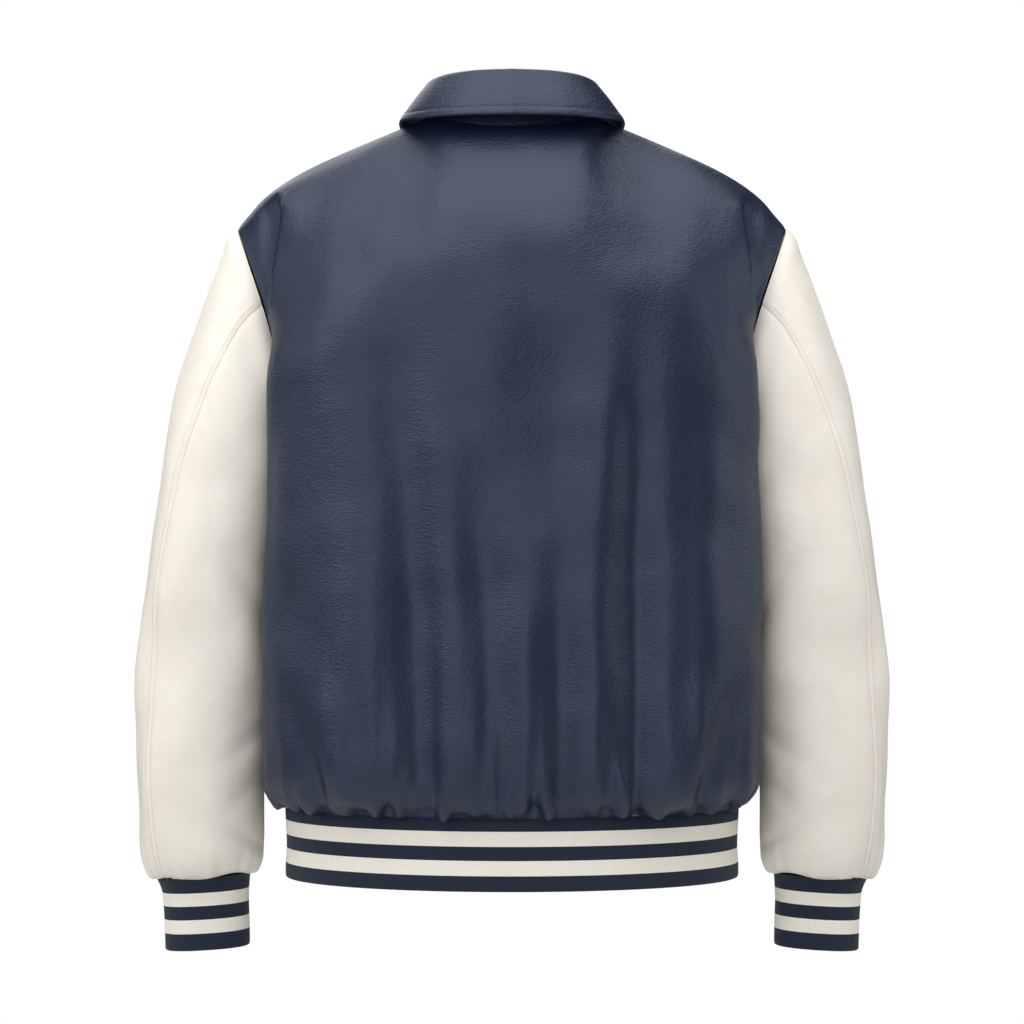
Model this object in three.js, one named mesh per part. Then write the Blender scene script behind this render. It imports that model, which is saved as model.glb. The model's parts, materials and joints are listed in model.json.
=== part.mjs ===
// A varsity jacket as it hangs on its wearer, in millimetres.
// +Z is up, -Y is the wearer's front and +X the wearer's left.
// The origin lies between the neck ends of the two shoulder seams, where the shoulders carry the jacket.
// Each cut piece is a wall: a grid of points on its outer face, and the same grid moved in by its thickness.
// Grids run counterclockwise seen from above, and upwards.
import * as THREE from "three";

// ---- Driving sizes ----
const LEATHER = 2.5; // leather shell with its backing
const RIB = 3; // rib knit, folded double
const COLLAR = 3; // two layers of leather
const GAP = 0.3; // between two pieces at a seam

const NECK = { half: 78, back: 66, front: 66, backDrop: 14, frontDrop: 62, frontPower: 1.5 };
// The shoulder seam's outer end, its fall per millimetre, and how sharply it drops over the last of the way.
const TIP = { x: 245, z: -98, slope: 0.42, dropPower: 6 };
const UNDERARM = { x: 189, z: -310 };
const ARMHOLE = { back: 52, front: 58, round: 0.55, lean: 1.6 }; // how far it bows back and forward
// The height over which back and chest turn over to the seam above. It passes from the shoulder's to the
// neck's from one share of the width inwards, and the turn itself passes from full to even.
const ROUND = { shoulder: 160, neck: 120, from: 0.55, full: 0.5, even: 1, evenFrom: 0.35, evenOver: 0.5 };
const HEM = { seam: -612, edge: -674, half: 201, depth: 121 };
const OVERLAP = 15; // each front runs this far past the centre line
const UNDERLAP = { step: 3.6, from: 72, to: 36 }; // the right front steps in under the left one
const SNAP = { radius: 7.5, height: 3.2, rim: 1.2, crown: 0.72, seat: 0.75 };

// Torso sections: half width before the arm presses in, side seam, back and front depth, squareness.
const TORSO = [
  { z: -612, half: 202, side: 202, back: 121, front: 121, square: 2.0 },
  { z: -604, half: 217, side: 208, back: 133, front: 131.5, square: 2.4 },
  { z: -592, half: 226, side: 212, back: 141, front: 138.5, square: 2.65 },
  { z: -570, half: 229, side: 212, back: 146.5, front: 143, square: 2.75 },
  { z: -530, half: 231, side: 209.5, back: 147.5, front: 144.5, square: 2.8 },
  { z: -450, half: 229, side: 202, back: 144, front: 143, square: 2.9 },
  { z: -370, half: 224, side: 194, back: 140, front: 142, square: 3.3 },
  { z: -310, half: 220, side: 189, back: 138, front: 141, square: 3.5 },
  { z: -240, half: 216, side: 194, back: 136, front: 140, square: 3.4 },
  { z: -180, half: 211, side: 211, back: 134, front: 138, square: 3.0 },
  { z: -98, half: 205, side: 245, back: 130, front: 132, square: 2.4 },
];
// The arm's hollow in the side: its flat middle, and the distance over which it fades.
const PRESS = { back: { flat: 18, reach: 62 }, front: { flat: 24, reach: 78 } };

// The largest soft folds: where each starts and ends, its half width, and how far it stands out (or in).
const BACK_FOLDS = [
  { topX: 104, topZ: -170, lowX: 74, lowZ: -600, width: 26, out: -6 },
  { topX: 144, topZ: -220, lowX: 118, lowZ: -590, width: 28, out: 4 },
  { topX: 58, topZ: -130, lowX: 44, lowZ: -590, width: 26, out: 4 },
  { topX: -12, topZ: -400, lowX: -14, lowZ: -600, width: 22, out: 3 },
  { topX: -78, topZ: -110, lowX: -74, lowZ: -590, width: 24, out: 4.5 },
  { topX: -107, topZ: -140, lowX: -104, lowZ: -600, width: 24, out: -6 },
  { topX: -132, topZ: -360, lowX: -124, lowZ: -590, width: 22, out: 3 },
  { topX: -162, topZ: -240, lowX: -146, lowZ: -590, width: 22, out: -3 },
];
const FRONT_FOLDS = [
  { topX: 96, topZ: -150, lowX: 74, lowZ: -560, width: 28, out: -4.5 },
  { topX: 136, topZ: -240, lowX: 122, lowZ: -590, width: 28, out: 4 },
  { topX: 166, topZ: -330, lowX: 160, lowZ: -590, width: 22, out: -3 },
  { topX: -88, topZ: -170, lowX: -98, lowZ: -590, width: 28, out: -4.5 },
  { topX: -140, topZ: -220, lowX: -132, lowZ: -540, width: 28, out: 4 },
  { topX: -58, topZ: -360, lowX: -62, lowZ: -590, width: 20, out: 2.5 },
];
const FOLD_END = 0.3; // share of a fold's length over which each end fades

// Sleeve rings from armhole to cuff seam: outer and inner point, half depth, and middle front to back.
const SLEEVE = [
  { at: 0, outX: 245, outZ: -98, inX: 189, inZ: -310, depth: 55, mid: -3 },
  { at: 1, outX: 261, outZ: -129, inX: 193, inZ: -315, depth: 64, mid: -4 },
  { at: 2, outX: 277, outZ: -176, inX: 196, inZ: -321, depth: 72, mid: -5 },
  { at: 3, outX: 291, outZ: -222, inX: 198.5, inZ: -330, depth: 76, mid: -6 },
  { at: 4, outX: 304, outZ: -274, inX: 201, inZ: -346, depth: 77, mid: -7 },
  { at: 5, outX: 315.5, outZ: -330, inX: 203.5, inZ: -374, depth: 76, mid: -8 },
  { at: 6, outX: 324.5, outZ: -388, inX: 207.5, inZ: -414, depth: 73, mid: -9 },
  { at: 7, outX: 331, outZ: -447, inX: 211.5, inZ: -462, depth: 70, mid: -11 },
  { at: 8, outX: 335, outZ: -510, inX: 215.5, inZ: -517, depth: 66, mid: -12 },
  { at: 9, outX: 336.8, outZ: -570, inX: 219.5, inZ: -571, depth: 61, mid: -14 },
  { at: 10, outX: 334, outZ: -624, inX: 222.2, inZ: -620, depth: 55, mid: -16 },
  { at: 11, outX: 330, outZ: -658, inX: 223.5, inZ: -652, depth: 49, mid: -17 },
  { at: 12, outX: 325, outZ: -673, inX: 228, inZ: -667.5, depth: 42, mid: -18 },
  { at: 13, outX: 317.5, outZ: -677.5, inX: 234.5, inZ: -672.5, depth: 33, mid: -18 },
];
const SLEEVE_LAST = SLEEVE[SLEEVE.length - 1].at;
const ARMHOLE_BLEND = 3; // the ring by which the sleeve has left the armhole's shape
// The elbow seam's angle below the elbow, and the ring it settles at.
const BACK_SEAM = { bottomDeg: 50, settledAt: 7 };
const ELLIPSE_POWER = 0.9; // 1 is an ellipse; less is squarer

// Cuff rings from the bottom fold up to the sleeve.
const CUFF = [
  { at: 0, outX: 310, outZ: -742, inX: 234.8, inZ: -737.5, depth: 27, mid: -18 },
  { at: 1, outX: 310.6, outZ: -720.5, inX: 235.2, inZ: -716, depth: 28, mid: -18 },
  { at: 2, outX: 311.6, outZ: -702.5, inX: 235.8, inZ: -698, depth: 28, mid: -18 },
  { at: 3, outX: 313, outZ: -689, inX: 235.4, inZ: -684.5, depth: 29.5, mid: -18 },
  { at: 4, outX: 317.5, outZ: -678, inX: 234.5, inZ: -673, depth: 33, mid: -18 },
];

// Collar, from centre back (0 degrees) round the left side to the centre front.
// Fold: the top of the roll. Edge: the lower edge of the leaf.
const COLLAR_LINE = [
  { deg: 0, foldX: 0, foldY: 60, foldZ: 33.5, edgeX: 0, edgeY: 88, edgeZ: -8.5 },
  { deg: 30, foldX: 35, foldY: 52.5, foldZ: 33, edgeX: 52, edgeY: 79, edgeZ: -8.5 },
  { deg: 60, foldX: 60, foldY: 31, foldZ: 31.5, edgeX: 88, edgeY: 46, edgeZ: -8 },
  { deg: 90, foldX: 68.5, foldY: 0, foldZ: 28, edgeX: 99.5, edgeY: 0, edgeZ: -5.5 },
  { deg: 120, foldX: 60, foldY: -33, foldZ: 15, edgeX: 97, edgeY: -52, edgeZ: -14 },
  { deg: 150, foldX: 35, foldY: -58, foldZ: -8, edgeX: 80, edgeY: -97, edgeZ: -48 },
  { deg: 178, foldX: 2.2, foldY: -68, foldZ: -31, edgeX: 52, edgeY: -127, edgeZ: -100 },
];
const COLLAR_END = COLLAR_LINE[COLLAR_LINE.length - 1].deg;
const ROLL = 4.2; // radius of the collar's roll, at the middle of its thickness
const STAND_STOP = 10; // the leaf is joined to the stand this far below the roll

// ---- Curves ----
const clamp = (x, low = 0, high = 1) => Math.min(high, Math.max(low, x));
const lerp = (a, b, t) => a + (b - a) * t;
const ease = (x) => {
  const t = clamp(x);
  return t * t * (3 - 2 * t);
};
const radians = (deg) => (deg * Math.PI) / 180;
const power = (x, p) => Math.sign(x) * Math.abs(x) ** p;

// One column of a table as a smooth curve through its rows, which are in rising order of the key `along`.
function column(rows, key, x, along) {
  const last = rows.length - 1;
  const place = clamp(x, rows[0][along], rows[last][along]);
  let i = 0;
  while (i < last - 1 && rows[i + 1][along] < place) i++;
  const [a, b, c, d] = [rows[Math.max(i - 1, 0)], rows[i], rows[i + 1], rows[Math.min(i + 2, last)]];
  const width = c[along] - b[along];
  const t = (place - b[along]) / width;
  const slopeB = ((c[key] - a[key]) / (c[along] - a[along])) * width;
  const slopeC = ((d[key] - b[key]) / (d[along] - b[along])) * width;
  const [t2, t3] = [t * t, t * t * t];
  const through = (2 * t3 - 3 * t2 + 1) * b[key] + (3 * t2 - 2 * t3) * c[key];
  return through + (t3 - 2 * t2 + t) * slopeB + (t3 - t2) * slopeC;
}

// ---- Torso ----
const NECK_START = 0.8; // share of a half panel's width at which its top edge passes from shoulder to neck
const UNDERARM_LEVEL = (UNDERARM.z - HEM.seam) / (TIP.z - HEM.seam);

// The armhole's edge, t from 0 at the underarm to 1 at the shoulder tip.
function armholePoint(t, face) {
  const bow = face > 0 ? ARMHOLE.back : ARMHOLE.front;
  return new THREE.Vector3(
    lerp(UNDERARM.x, TIP.x, t ** ARMHOLE.lean),
    face * bow * (4 * t * (1 - t)) ** ARMHOLE.round,
    lerp(UNDERARM.z, TIP.z, t),
  );
}

// The top edge of a half panel: shoulder seam from the tip in to the neck, then the neckline to the centre.
function topEdge(s, face) {
  if (s < NECK_START) {
    const share = Math.cos(radians((90 * s) / NECK_START));
    const drop = TIP.slope * (TIP.x - NECK.half) * share;
    const extra = -TIP.z - TIP.slope * (TIP.x - NECK.half);
    return { x: lerp(NECK.half, TIP.x, share), y: 0, z: -drop - extra * share ** TIP.dropPower };
  }
  const turn = radians((90 * (s - NECK_START)) / (1 - NECK_START));
  const [across, along] = [Math.cos(turn), Math.sin(turn)];
  return face > 0
    ? { x: NECK.half * across, y: NECK.back * along, z: -NECK.backDrop * along ** 2 }
    : { x: NECK.half * across, y: NECK.front * along, z: -NECK.frontDrop * along ** NECK.frontPower };
}

// A point of the torso's left half. s runs from the side or armhole (0) to the centre (1), and v from the hem
// (0) to the top (1). face is 1 for the back and -1 for the front.
function torsoPoint(s, v, face) {
  const top = topEdge(s, face);
  const edgeZ = lerp(HEM.seam, TIP.z, v);
  const t = clamp((edgeZ - UNDERARM.z) / (TIP.z - UNDERARM.z));
  const above = edgeZ > UNDERARM.z;
  const edge = above ? armholePoint(t, 1) : { x: column(TORSO, "side", edgeZ, "z") };
  const tableHalf = column(TORSO, "half", edgeZ, "z");
  const half = above ? Math.max(edge.x, tableHalf) : tableHalf;
  const edgeY = above ? Math.abs(armholePoint(t, face).y) : 0;
  const depth = column(TORSO, face > 0 ? "back" : "front", edgeZ, "z");
  const square = column(TORSO, "square", edgeZ, "z");

  const spread = square / 2;
  const turn = radians((90 * s ** spread) / (s ** spread + (1 - s) ** spread));
  const across = Math.cos(turn) ** (2 / square);
  const along = Math.sin(turn) ** (2 / square);
  const widthShare = lerp(across, top.x / TIP.x, ease((v - UNDERARM_LEVEL) / (1 - UNDERARM_LEVEL)));

  const z = lerp(HEM.seam, top.z, v);
  const neckward = ease((s - ROUND.from) / (1 - ROUND.from));
  const round = clamp((top.z - z) / lerp(ROUND.shoulder, ROUND.neck, neckward));
  const roundPower = lerp(ROUND.full, ROUND.even, ease((s - ROUND.evenFrom) / ROUND.evenOver));
  const capped = top.y + (depth - top.y) * (1 - (1 - round) ** 2) ** roundPower;
  const y = edgeY + (capped - edgeY) * along;
  const press = face > 0 ? PRESS.back : PRESS.front;
  const pressedFrom = Math.max(press.flat, edgeY);
  const pressed = 1 - ease((y - pressedFrom) / (press.flat + press.reach - pressedFrom));
  return new THREE.Vector3(half * widthShare - (half - edge.x) * pressed, face * y, z);
}

// How far the folds move the surface out at a place seen from behind or in front.
function foldOut(x, z, face) {
  return (face > 0 ? BACK_FOLDS : FRONT_FOLDS).reduce((sum, fold) => {
    const share = (fold.topZ - z) / (fold.topZ - fold.lowZ);
    const across = (x - lerp(fold.topX, fold.lowX, share)) / fold.width;
    const faded = ease(share / FOLD_END) * ease((1 - share) / FOLD_END);
    return sum + fold.out * Math.exp(-across * across) * faded;
  }, 0);
}

// ---- Sleeve and cuff ----
// The armhole's column angles follow the torso's rows, so that both edges of the seam have the same points.
const ARM_LEVELS = [0, 0.06, 0.16, 0.28, 0.4, 0.53, 0.665, 0.79, 0.89, 0.955, 0.988, 1];
const levelAngle = (t) => (Math.acos(2 * t - 1) * 180) / Math.PI;
// Where the elbow seam and the forearm seam leave the armhole.
const BACK_SEAM_DEG = levelAngle(ARM_LEVELS[6]);
const FRONT_SEAM_DEG = 360 - levelAngle(ARM_LEVELS[3]);

function ringPoint(rows, at, deg) {
  const value = (key) => column(rows, key, at, "at");
  const across = power(Math.cos(radians(deg)), ELLIPSE_POWER);
  const along = power(Math.sin(radians(deg)), ELLIPSE_POWER);
  return new THREE.Vector3(
    lerp(value("inX"), value("outX"), (1 + across) / 2),
    value("mid") + value("depth") * along,
    lerp(value("inZ"), value("outZ"), (1 + across) / 2),
  );
}

// The elbow seam turns outwards as it goes down, and the columns beside it share the turn.
function sleeveAngle(deg, at) {
  if (deg > 180) return deg;
  const seam = lerp(BACK_SEAM_DEG, BACK_SEAM.bottomDeg, ease(at / BACK_SEAM.settledAt));
  return deg < BACK_SEAM_DEG
    ? (deg * seam) / BACK_SEAM_DEG
    : 180 - ((180 - deg) * (180 - seam)) / (180 - BACK_SEAM_DEG);
}

// A point of the left sleeve. deg runs round it from the outside (0) over the back (90), and at runs down the
// table's rings.
function sleevePoint(deg, at) {
  const point = ringPoint(SLEEVE, at, sleeveAngle(deg, at));
  const fade = (1 - clamp(at / ARMHOLE_BLEND)) ** 2;
  if (fade > 0) {
    const level = (1 + Math.cos(radians(deg))) / 2;
    const seam = armholePoint(level, deg <= 180 ? 1 : -1);
    point.add(seam.sub(ringPoint(SLEEVE, 0, deg)).multiplyScalar(fade));
  }
  return point;
}

// ---- Walls ----
// Unit normals of a grid, each the mean of the faces round its point.
function gridNormals(grid, wraps = false) {
  const [rows, columns] = [grid.length, grid[0].length];
  const normals = grid.map((row) => row.map(() => new THREE.Vector3()));
  const steps = wraps ? columns : columns - 1;
  for (let j = 0; j < rows - 1; j++)
    for (let i = 0; i < steps; i++) {
      const next = (i + 1) % columns;
      const rising = grid[j + 1][next].clone().sub(grid[j][i]);
      const falling = grid[j + 1][i].clone().sub(grid[j][next]);
      const face = rising.cross(falling);
      for (const [r, c] of [[j, i], [j, next], [j + 1, i], [j + 1, next]]) normals[r][c].add(face);
    }
  normals.flat().forEach((n) => n.normalize());
  return normals;
}

// A closed wall between the grid of its outer face and the same grid moved in along the normals.
function wall(grid, thickness, { wraps = false, normals = gridNormals(grid, wraps) } = {}) {
  const [rows, columns] = [grid.length, grid[0].length];
  const movedIn = (p, normal) => p.clone().addScaledVector(normal, -thickness);
  const inner = grid.map((row, j) => row.map((p, i) => movedIn(p, normals[j][i])));
  const points = [...grid.flat(), ...inner.flat()];
  const faces = [];
  const quad = (a, b, c, d) => faces.push(a, b, c, a, c, d);
  const steps = wraps ? columns : columns - 1;
  const shift = rows * columns;
  const index = (j, i) => j * columns + (i % columns);
  for (let i = 0; i < steps; i++) {
    for (let j = 0; j < rows - 1; j++) {
      const [a, b, c, d] = [index(j, i), index(j, i + 1), index(j + 1, i + 1), index(j + 1, i)];
      quad(a, b, c, d);
      quad(shift + d, shift + c, shift + b, shift + a);
    }
    const [low, lowNext] = [index(0, i), index(0, i + 1)];
    const [high, highNext] = [index(rows - 1, i), index(rows - 1, i + 1)];
    quad(shift + low, shift + lowNext, lowNext, low);
    quad(shift + high, high, highNext, shift + highNext);
  }
  if (!wraps)
    for (let j = 0; j < rows - 1; j++) {
      const [first, firstUp] = [index(j, 0), index(j + 1, 0)];
      const [last, lastUp] = [index(j, columns - 1), index(j + 1, columns - 1)];
      quad(shift + first, first, firstUp, shift + firstUp);
      quad(shift + last, shift + lastUp, lastUp, last);
    }
  const geometry = new THREE.BufferGeometry();
  const numbers = points.flatMap((p) => [p.x, p.y, p.z]);
  geometry.setAttribute("position", new THREE.Float32BufferAttribute(numbers, 3));
  geometry.setIndex(faces);
  geometry.computeVertexNormals();
  return geometry;
}

// ---- Materials ----
const navyLeather = new THREE.MeshStandardMaterial({ color: 0x38465c, roughness: 0.5, metalness: 0 });
const creamLeather = new THREE.MeshStandardMaterial({ color: 0xefeade, roughness: 0.55, metalness: 0 });
const navyRib = new THREE.MeshStandardMaterial({ color: 0x1c2a40, roughness: 0.9, metalness: 0 });
const snapMetal = new THREE.MeshStandardMaterial({ color: 0x2c3950, roughness: 0.35, metalness: 0.6 });

const jacket = new THREE.Group();
function add(name, geometry, material) {
  const mesh = new THREE.Mesh(geometry, material);
  mesh.name = name;
  jacket.add(mesh);
  return mesh;
}

// ---- Fronts and back ----
const LOW_LEVELS = [-612, -605, -595, -578, -550, -505, -450, -400, -350].map(
  (z) => (z - HEM.seam) / (TIP.z - HEM.seam),
);
const LEVELS = [...LOW_LEVELS, ...ARM_LEVELS.map((t) => lerp(UNDERARM_LEVEL, 1, t))];
const SHARES = [0, 0.08, 0.17, 0.28, 0.4, 0.53, 0.67, NECK_START, 0.85, 0.9, 0.95, 1];
const EDGE_STEP = 0.04; // share of a panel over which its slope at the armhole is measured
const SLEEVE_EDGE = { at: 0.3, degStep: 4, atStep: 0.25 }; // ring and steps for the sleeve's slope there
const RUN_ON = { from: 0.2, over: 0.5 }; // how alike the two directions are where they begin to be shared

function slopeNormal(point, u, v, stepU, stepV) {
  const alongU = point(u + stepU, v).sub(point(u - stepU, v));
  const alongV = point(u, v + stepV).sub(point(u, v - stepV));
  return alongU.cross(alongV).normalize();
}

// The walls' directions at the armhole, where t is the height on it. Near the shoulder tip, body and sleeve
// run on into each other, and both walls end on one shared direction.
function armholeNormals(t, face) {
  const deg = face > 0 ? levelAngle(t) : 360 - levelAngle(t);
  const level = clamp(lerp(UNDERARM_LEVEL, 1, t), 0, 1 - EDGE_STEP);
  const body = slopeNormal((s, v) => torsoPoint(Math.max(s, 0), v, face), 0, level, EDGE_STEP, EDGE_STEP);
  if (face < 0) body.negate();
  const { at: ringAt, degStep, atStep } = SLEEVE_EDGE;
  const sleeve = slopeNormal((d, at) => sleevePoint((d + 360) % 360, at), deg, ringAt, degStep, -atStep);
  if (t === 1) {
    const inward = topEdge(EDGE_STEP, 1);
    body.set(inward.z - TIP.z, 0, TIP.x - inward.x).normalize();
    sleeve.y = 0;
  }
  const shared = ease((body.dot(sleeve) - RUN_ON.from) / RUN_ON.over);
  const mean = body.clone().add(sleeve).normalize();
  return { body: body.lerp(mean, shared).normalize(), sleeve: sleeve.lerp(mean, shared).normalize() };
}

// A row of a half panel's columns: share s of each, and the side of the body, 1 for the left, it lies on.
const halfColumns = (side) => SHARES.map((s) => ({ s, side }));

// A point at a distance past the centre line: the row's first stretch from the centre, mirrored.
function pastCentre(past, v, face) {
  const [centre, next] = [torsoPoint(1, v, face), torsoPoint(SHARES.at(-2), v, face)];
  return centre.lerp(next, (past / next.x) ** 2).setX(-past);
}

// Points and wall directions of a panel. Its edges stop half a gap short of the lines two pieces share.
function panelGrid(columns, face) {
  const grid = LEVELS.map((v) =>
    columns.map(({ s, side, past }) => {
      const point = past ? pastCentre(past, v, face) : torsoPoint(s, v, face);
      point.x *= side;
      point.y += face * foldOut(point.x, point.z, face);
      const atSide = s === 0 && v <= UNDERARM_LEVEL;
      const atShoulder = v === 1 && s <= NECK_START;
      if (atSide || atShoulder) point.y += (face * GAP) / 2;
      return point;
    }),
  );
  const normals = gridNormals(grid);
  normals.forEach((row, j) =>
    row.forEach((normal, i) => {
      const { s, side } = columns[i];
      const t = ARM_LEVELS[j - LOW_LEVELS.length];
      if (s === 0 && t > 0) {
        normal.copy(armholeNormals(t, face).body);
        normal.x *= side;
      } else if (s === 0 || (t === 1 && s <= NECK_START)) normal.setY(0).normalize();
    }),
  );
  return { grid, normals };
}

function backPanel() {
  const columns = [...halfColumns(1), ...halfColumns(-1).reverse().slice(1)];
  const { grid, normals } = panelGrid(columns, 1);
  return wall(grid, LEATHER, { normals });
}

// The left front runs on past the centre. The right one does so too, and steps in under the left.
function frontPanel(side) {
  const beyond = [OVERLAP, OVERLAP / 2].map((past) => ({ s: 1, side, past }));
  const columns = [...beyond, ...halfColumns(side).reverse()];
  if (side < 0) columns.reverse();
  const { grid, normals } = panelGrid(columns, -1);
  if (side < 0)
    grid.forEach((row, j) =>
      row.forEach((p, i) => {
        const share = (UNDERLAP.from + p.x) / (UNDERLAP.from - UNDERLAP.to);
        p.addScaledVector(normals[j][i], -UNDERLAP.step * ease(share));
      }),
    );
  return wall(grid, LEATHER, { normals });
}

add("back", backPanel(), navyLeather);
add("front_left", frontPanel(1), navyLeather);
add("front_right", frontPanel(-1), navyLeather);

// ---- Sleeves ----
const SLEEVE_GAP = 1.7 * GAP; // kept to the body's edge along the armhole
const SLEEVE_LEVELS = [SLEEVE_LAST, 12.5, 12, 11.3, 10.4, 9.4, 8.3, 7.2, 6, 5, 4, 3, 2, 1, 0.45, 0];
const armAngles = ARM_LEVELS.map(levelAngle).reverse();
const ringAngles = [...armAngles, ...armAngles.slice(1, -1).reverse().map((deg) => 360 - deg)];

// The sleeve as a whole ring of columns, moved off the armhole by a gap, with its walls' directions.
function sleeveGrid() {
  const level = (deg) => (deg === 0 ? 1 : (1 + Math.cos(radians(deg))) / 2);
  const grid = SLEEVE_LEVELS.map((at) => ringAngles.map((deg) => sleevePoint(deg, at)));
  const normals = gridNormals(grid, true);
  const edge = SLEEVE_LEVELS.length - 1;
  ringAngles.forEach((deg, i) => {
    const { body, sleeve } = armholeNormals(level(deg), deg <= 180 ? 1 : -1);
    normals[edge][i].copy(sleeve);
    const away = grid[edge - 1][i].clone().sub(grid[edge][i]).normalize().add(body).normalize();
    grid[edge][i].addScaledVector(away, SLEEVE_GAP);
  });
  return { grid, normals };
}

// The panel between two seams, each edge held half a gap back from its seam.
function sleevePanel(ring, from, to) {
  const first = ringAngles.indexOf(from);
  const count = (ringAngles.indexOf(to) - first + ringAngles.length) % ringAngles.length;
  const picked = Array.from({ length: count + 1 }, (_, i) => (first + i) % ringAngles.length);
  const normals = ring.normals.map((row) => picked.map((i) => row[i]));
  const grid = ring.grid.map((row) => picked.map((i) => row[i].clone()));
  for (const row of grid)
    for (const [edge, next] of [[0, 1], [count, count - 1]]) {
      const inward = row[next].clone().sub(row[edge]).normalize();
      row[edge].addScaledVector(inward, GAP / 2);
    }
  return wall(grid, LEATHER, { normals });
}

// The cuff's columns stand below the sleeve's.
const CUFF_LEVELS = [0, 0.3, 2, 3.4, 4];
const CUFF_FOLD = 1.1; // the folded edge draws in by this much

function cuff() {
  const grid = CUFF_LEVELS.map((at) =>
    ringAngles.map((deg) => {
      const point = ringPoint(CUFF, at, sleeveAngle(deg, SLEEVE_LAST));
      if (at > 0) return point;
      const middle = new THREE.Vector3((CUFF[0].outX + CUFF[0].inX) / 2, CUFF[0].mid, point.z);
      return point.addScaledVector(middle.sub(point).normalize(), CUFF_FOLD);
    }),
  );
  return wall(grid, RIB, { wraps: true });
}

const sleeveRing = sleeveGrid();
const sleeveOuter = sleevePanel(sleeveRing, FRONT_SEAM_DEG, BACK_SEAM_DEG);
const sleeveUnder = sleevePanel(sleeveRing, BACK_SEAM_DEG, FRONT_SEAM_DEG);
const cuffShape = cuff();
for (const [name, side] of [["left", 1], ["right", -1]]) {
  add(`sleeve_outer_${name}`, sleeveOuter, creamLeather).scale.x = side;
  add(`sleeve_under_${name}`, sleeveUnder, creamLeather).scale.x = side;
  add(`cuff_${name}`, cuffShape, navyRib).scale.x = side;
}

// ---- Hem band ----
const BAND_COLUMNS = 38;
const BAND_LEVELS = [
  { z: HEM.edge, out: -1.1 },
  { z: HEM.edge + 5, out: 0 },
  { z: -645, out: -1 },
  { z: -622, out: 0 },
  { z: HEM.seam - GAP - 0.2, out: 0.6 },
];

// The far end tucks in under the near one from this angle on, by this much more than the fronts' step.
const HEM_TUCK = { from: 249, over: 8, extra: 0.4 };

// The band starts past the centre on the left front's layer, runs round the back and ends under its start.
function hemBand() {
  const past = (Math.asin(OVERLAP / HEM.half) * 180) / Math.PI;
  const turnAt = (i) => -90 - past + ((360 + 2 * past) * i) / BAND_COLUMNS;
  const grid = BAND_LEVELS.map(({ z, out }) =>
    Array.from({ length: BAND_COLUMNS + 1 }, (_, i) => {
      const deg = turnAt(i);
      const tucked = (UNDERLAP.step + HEM_TUCK.extra) * ease((deg - HEM_TUCK.from) / HEM_TUCK.over);
      const grow = out - tucked;
      const [across, along] = [Math.cos(radians(deg)), Math.sin(radians(deg))];
      return new THREE.Vector3((HEM.half + grow) * across, (HEM.depth + grow) * along, z);
    }),
  );
  return wall(grid, RIB);
}
add("hem_band", hemBand(), navyRib);

// ---- Collar ----
// The stand's columns stand on the neckline's points, a quarter of it for each 90 degrees.
const neckDegrees = SHARES.filter((s) => s >= NECK_START).map((s) => (90 * (1 - s)) / (1 - NECK_START));
const quarter = [...neckDegrees].sort((a, b) => a - b);
const halfTurn = [...quarter, ...quarter.slice(1).map((deg) => Math.min(deg + 90, COLLAR_END))];
const collarAngles = [...halfTurn.slice(1).reverse().map((deg) => -deg), ...halfTurn];

const ROLL_STEP = 4; // degrees to either side over which the roll's direction is measured

// Neckline, roll and leaf edge at an angle from centre back. Positive angles are on the wearer's left.
// `out` points straight across the roll, away from the neck.
function collarSection(deg) {
  const [turn, side] = [Math.abs(deg), Math.sign(deg) || 1];
  const value = (key, at = turn) => column(COLLAR_LINE, key, at, "deg");
  const share = turn <= 90 ? lerp(1, NECK_START, turn / 90) : lerp(NECK_START, 1, (turn - 90) / 90);
  const neck = torsoPoint(share, 1, turn <= 90 ? 1 : -1);
  if (turn === COLLAR_END) neck.x = value("foldX");
  const [before, after] = [Math.max(turn - ROLL_STEP, 0), Math.min(turn + ROLL_STEP, COLLAR_END)];
  const out = new THREE.Vector3(
    value("foldY", before) - value("foldY", after),
    value("foldX", after) - value("foldX", before),
    0,
  ).normalize();
  if (turn === 0 || turn === COLLAR_END) out.set(0, turn === 0 ? 1 : -1, 0);
  const fold = new THREE.Vector3(value("foldX"), value("foldY"), value("foldZ"));
  const edge = new THREE.Vector3(value("edgeX"), value("edgeY"), value("edgeZ"));
  for (const p of [neck, fold, edge, out]) p.x *= side;
  return { neck, fold, edge, out };
}

// A point beside the roll: across it by `wide`, and up or down by `high`.
function besideRoll({ fold, out }, wide, high) {
  return fold.clone().addScaledVector(out, wide).setZ(fold.z + high);
}

// Turns a list of upward columns into rows.
const toRows = (columns) => columns[0].map((_, j) => columns.map((points) => points[j]));

const STAND_SHARES = [0, 0.35, 0.7, 1];

function collarStand() {
  const sections = [...collarAngles].reverse().map(collarSection);
  const grid = toRows(
    sections.map((section) => {
      const bottom = section.neck.clone();
      bottom.z += 1.5 * GAP;
      const top = besideRoll(section, -ROLL + COLLAR / 2, -STAND_STOP - 2 * GAP);
      return STAND_SHARES.map((t) => bottom.clone().lerp(top, t));
    }),
  );
  const normals = gridNormals(grid);
  sections.forEach(({ out }, i) => normals[normals.length - 1][i].copy(out));
  return wall(grid, COLLAR, { normals });
}

// The leaf starts above the stand, turns over the roll and runs down outside to its edge, bowed a little.
const LEAF_BOW = 1.2;
const ROLL_DEGREES = [150, 120, 90, 60, 30];
const LEAF_SHARES = [0.35, 0.68, 1];

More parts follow.
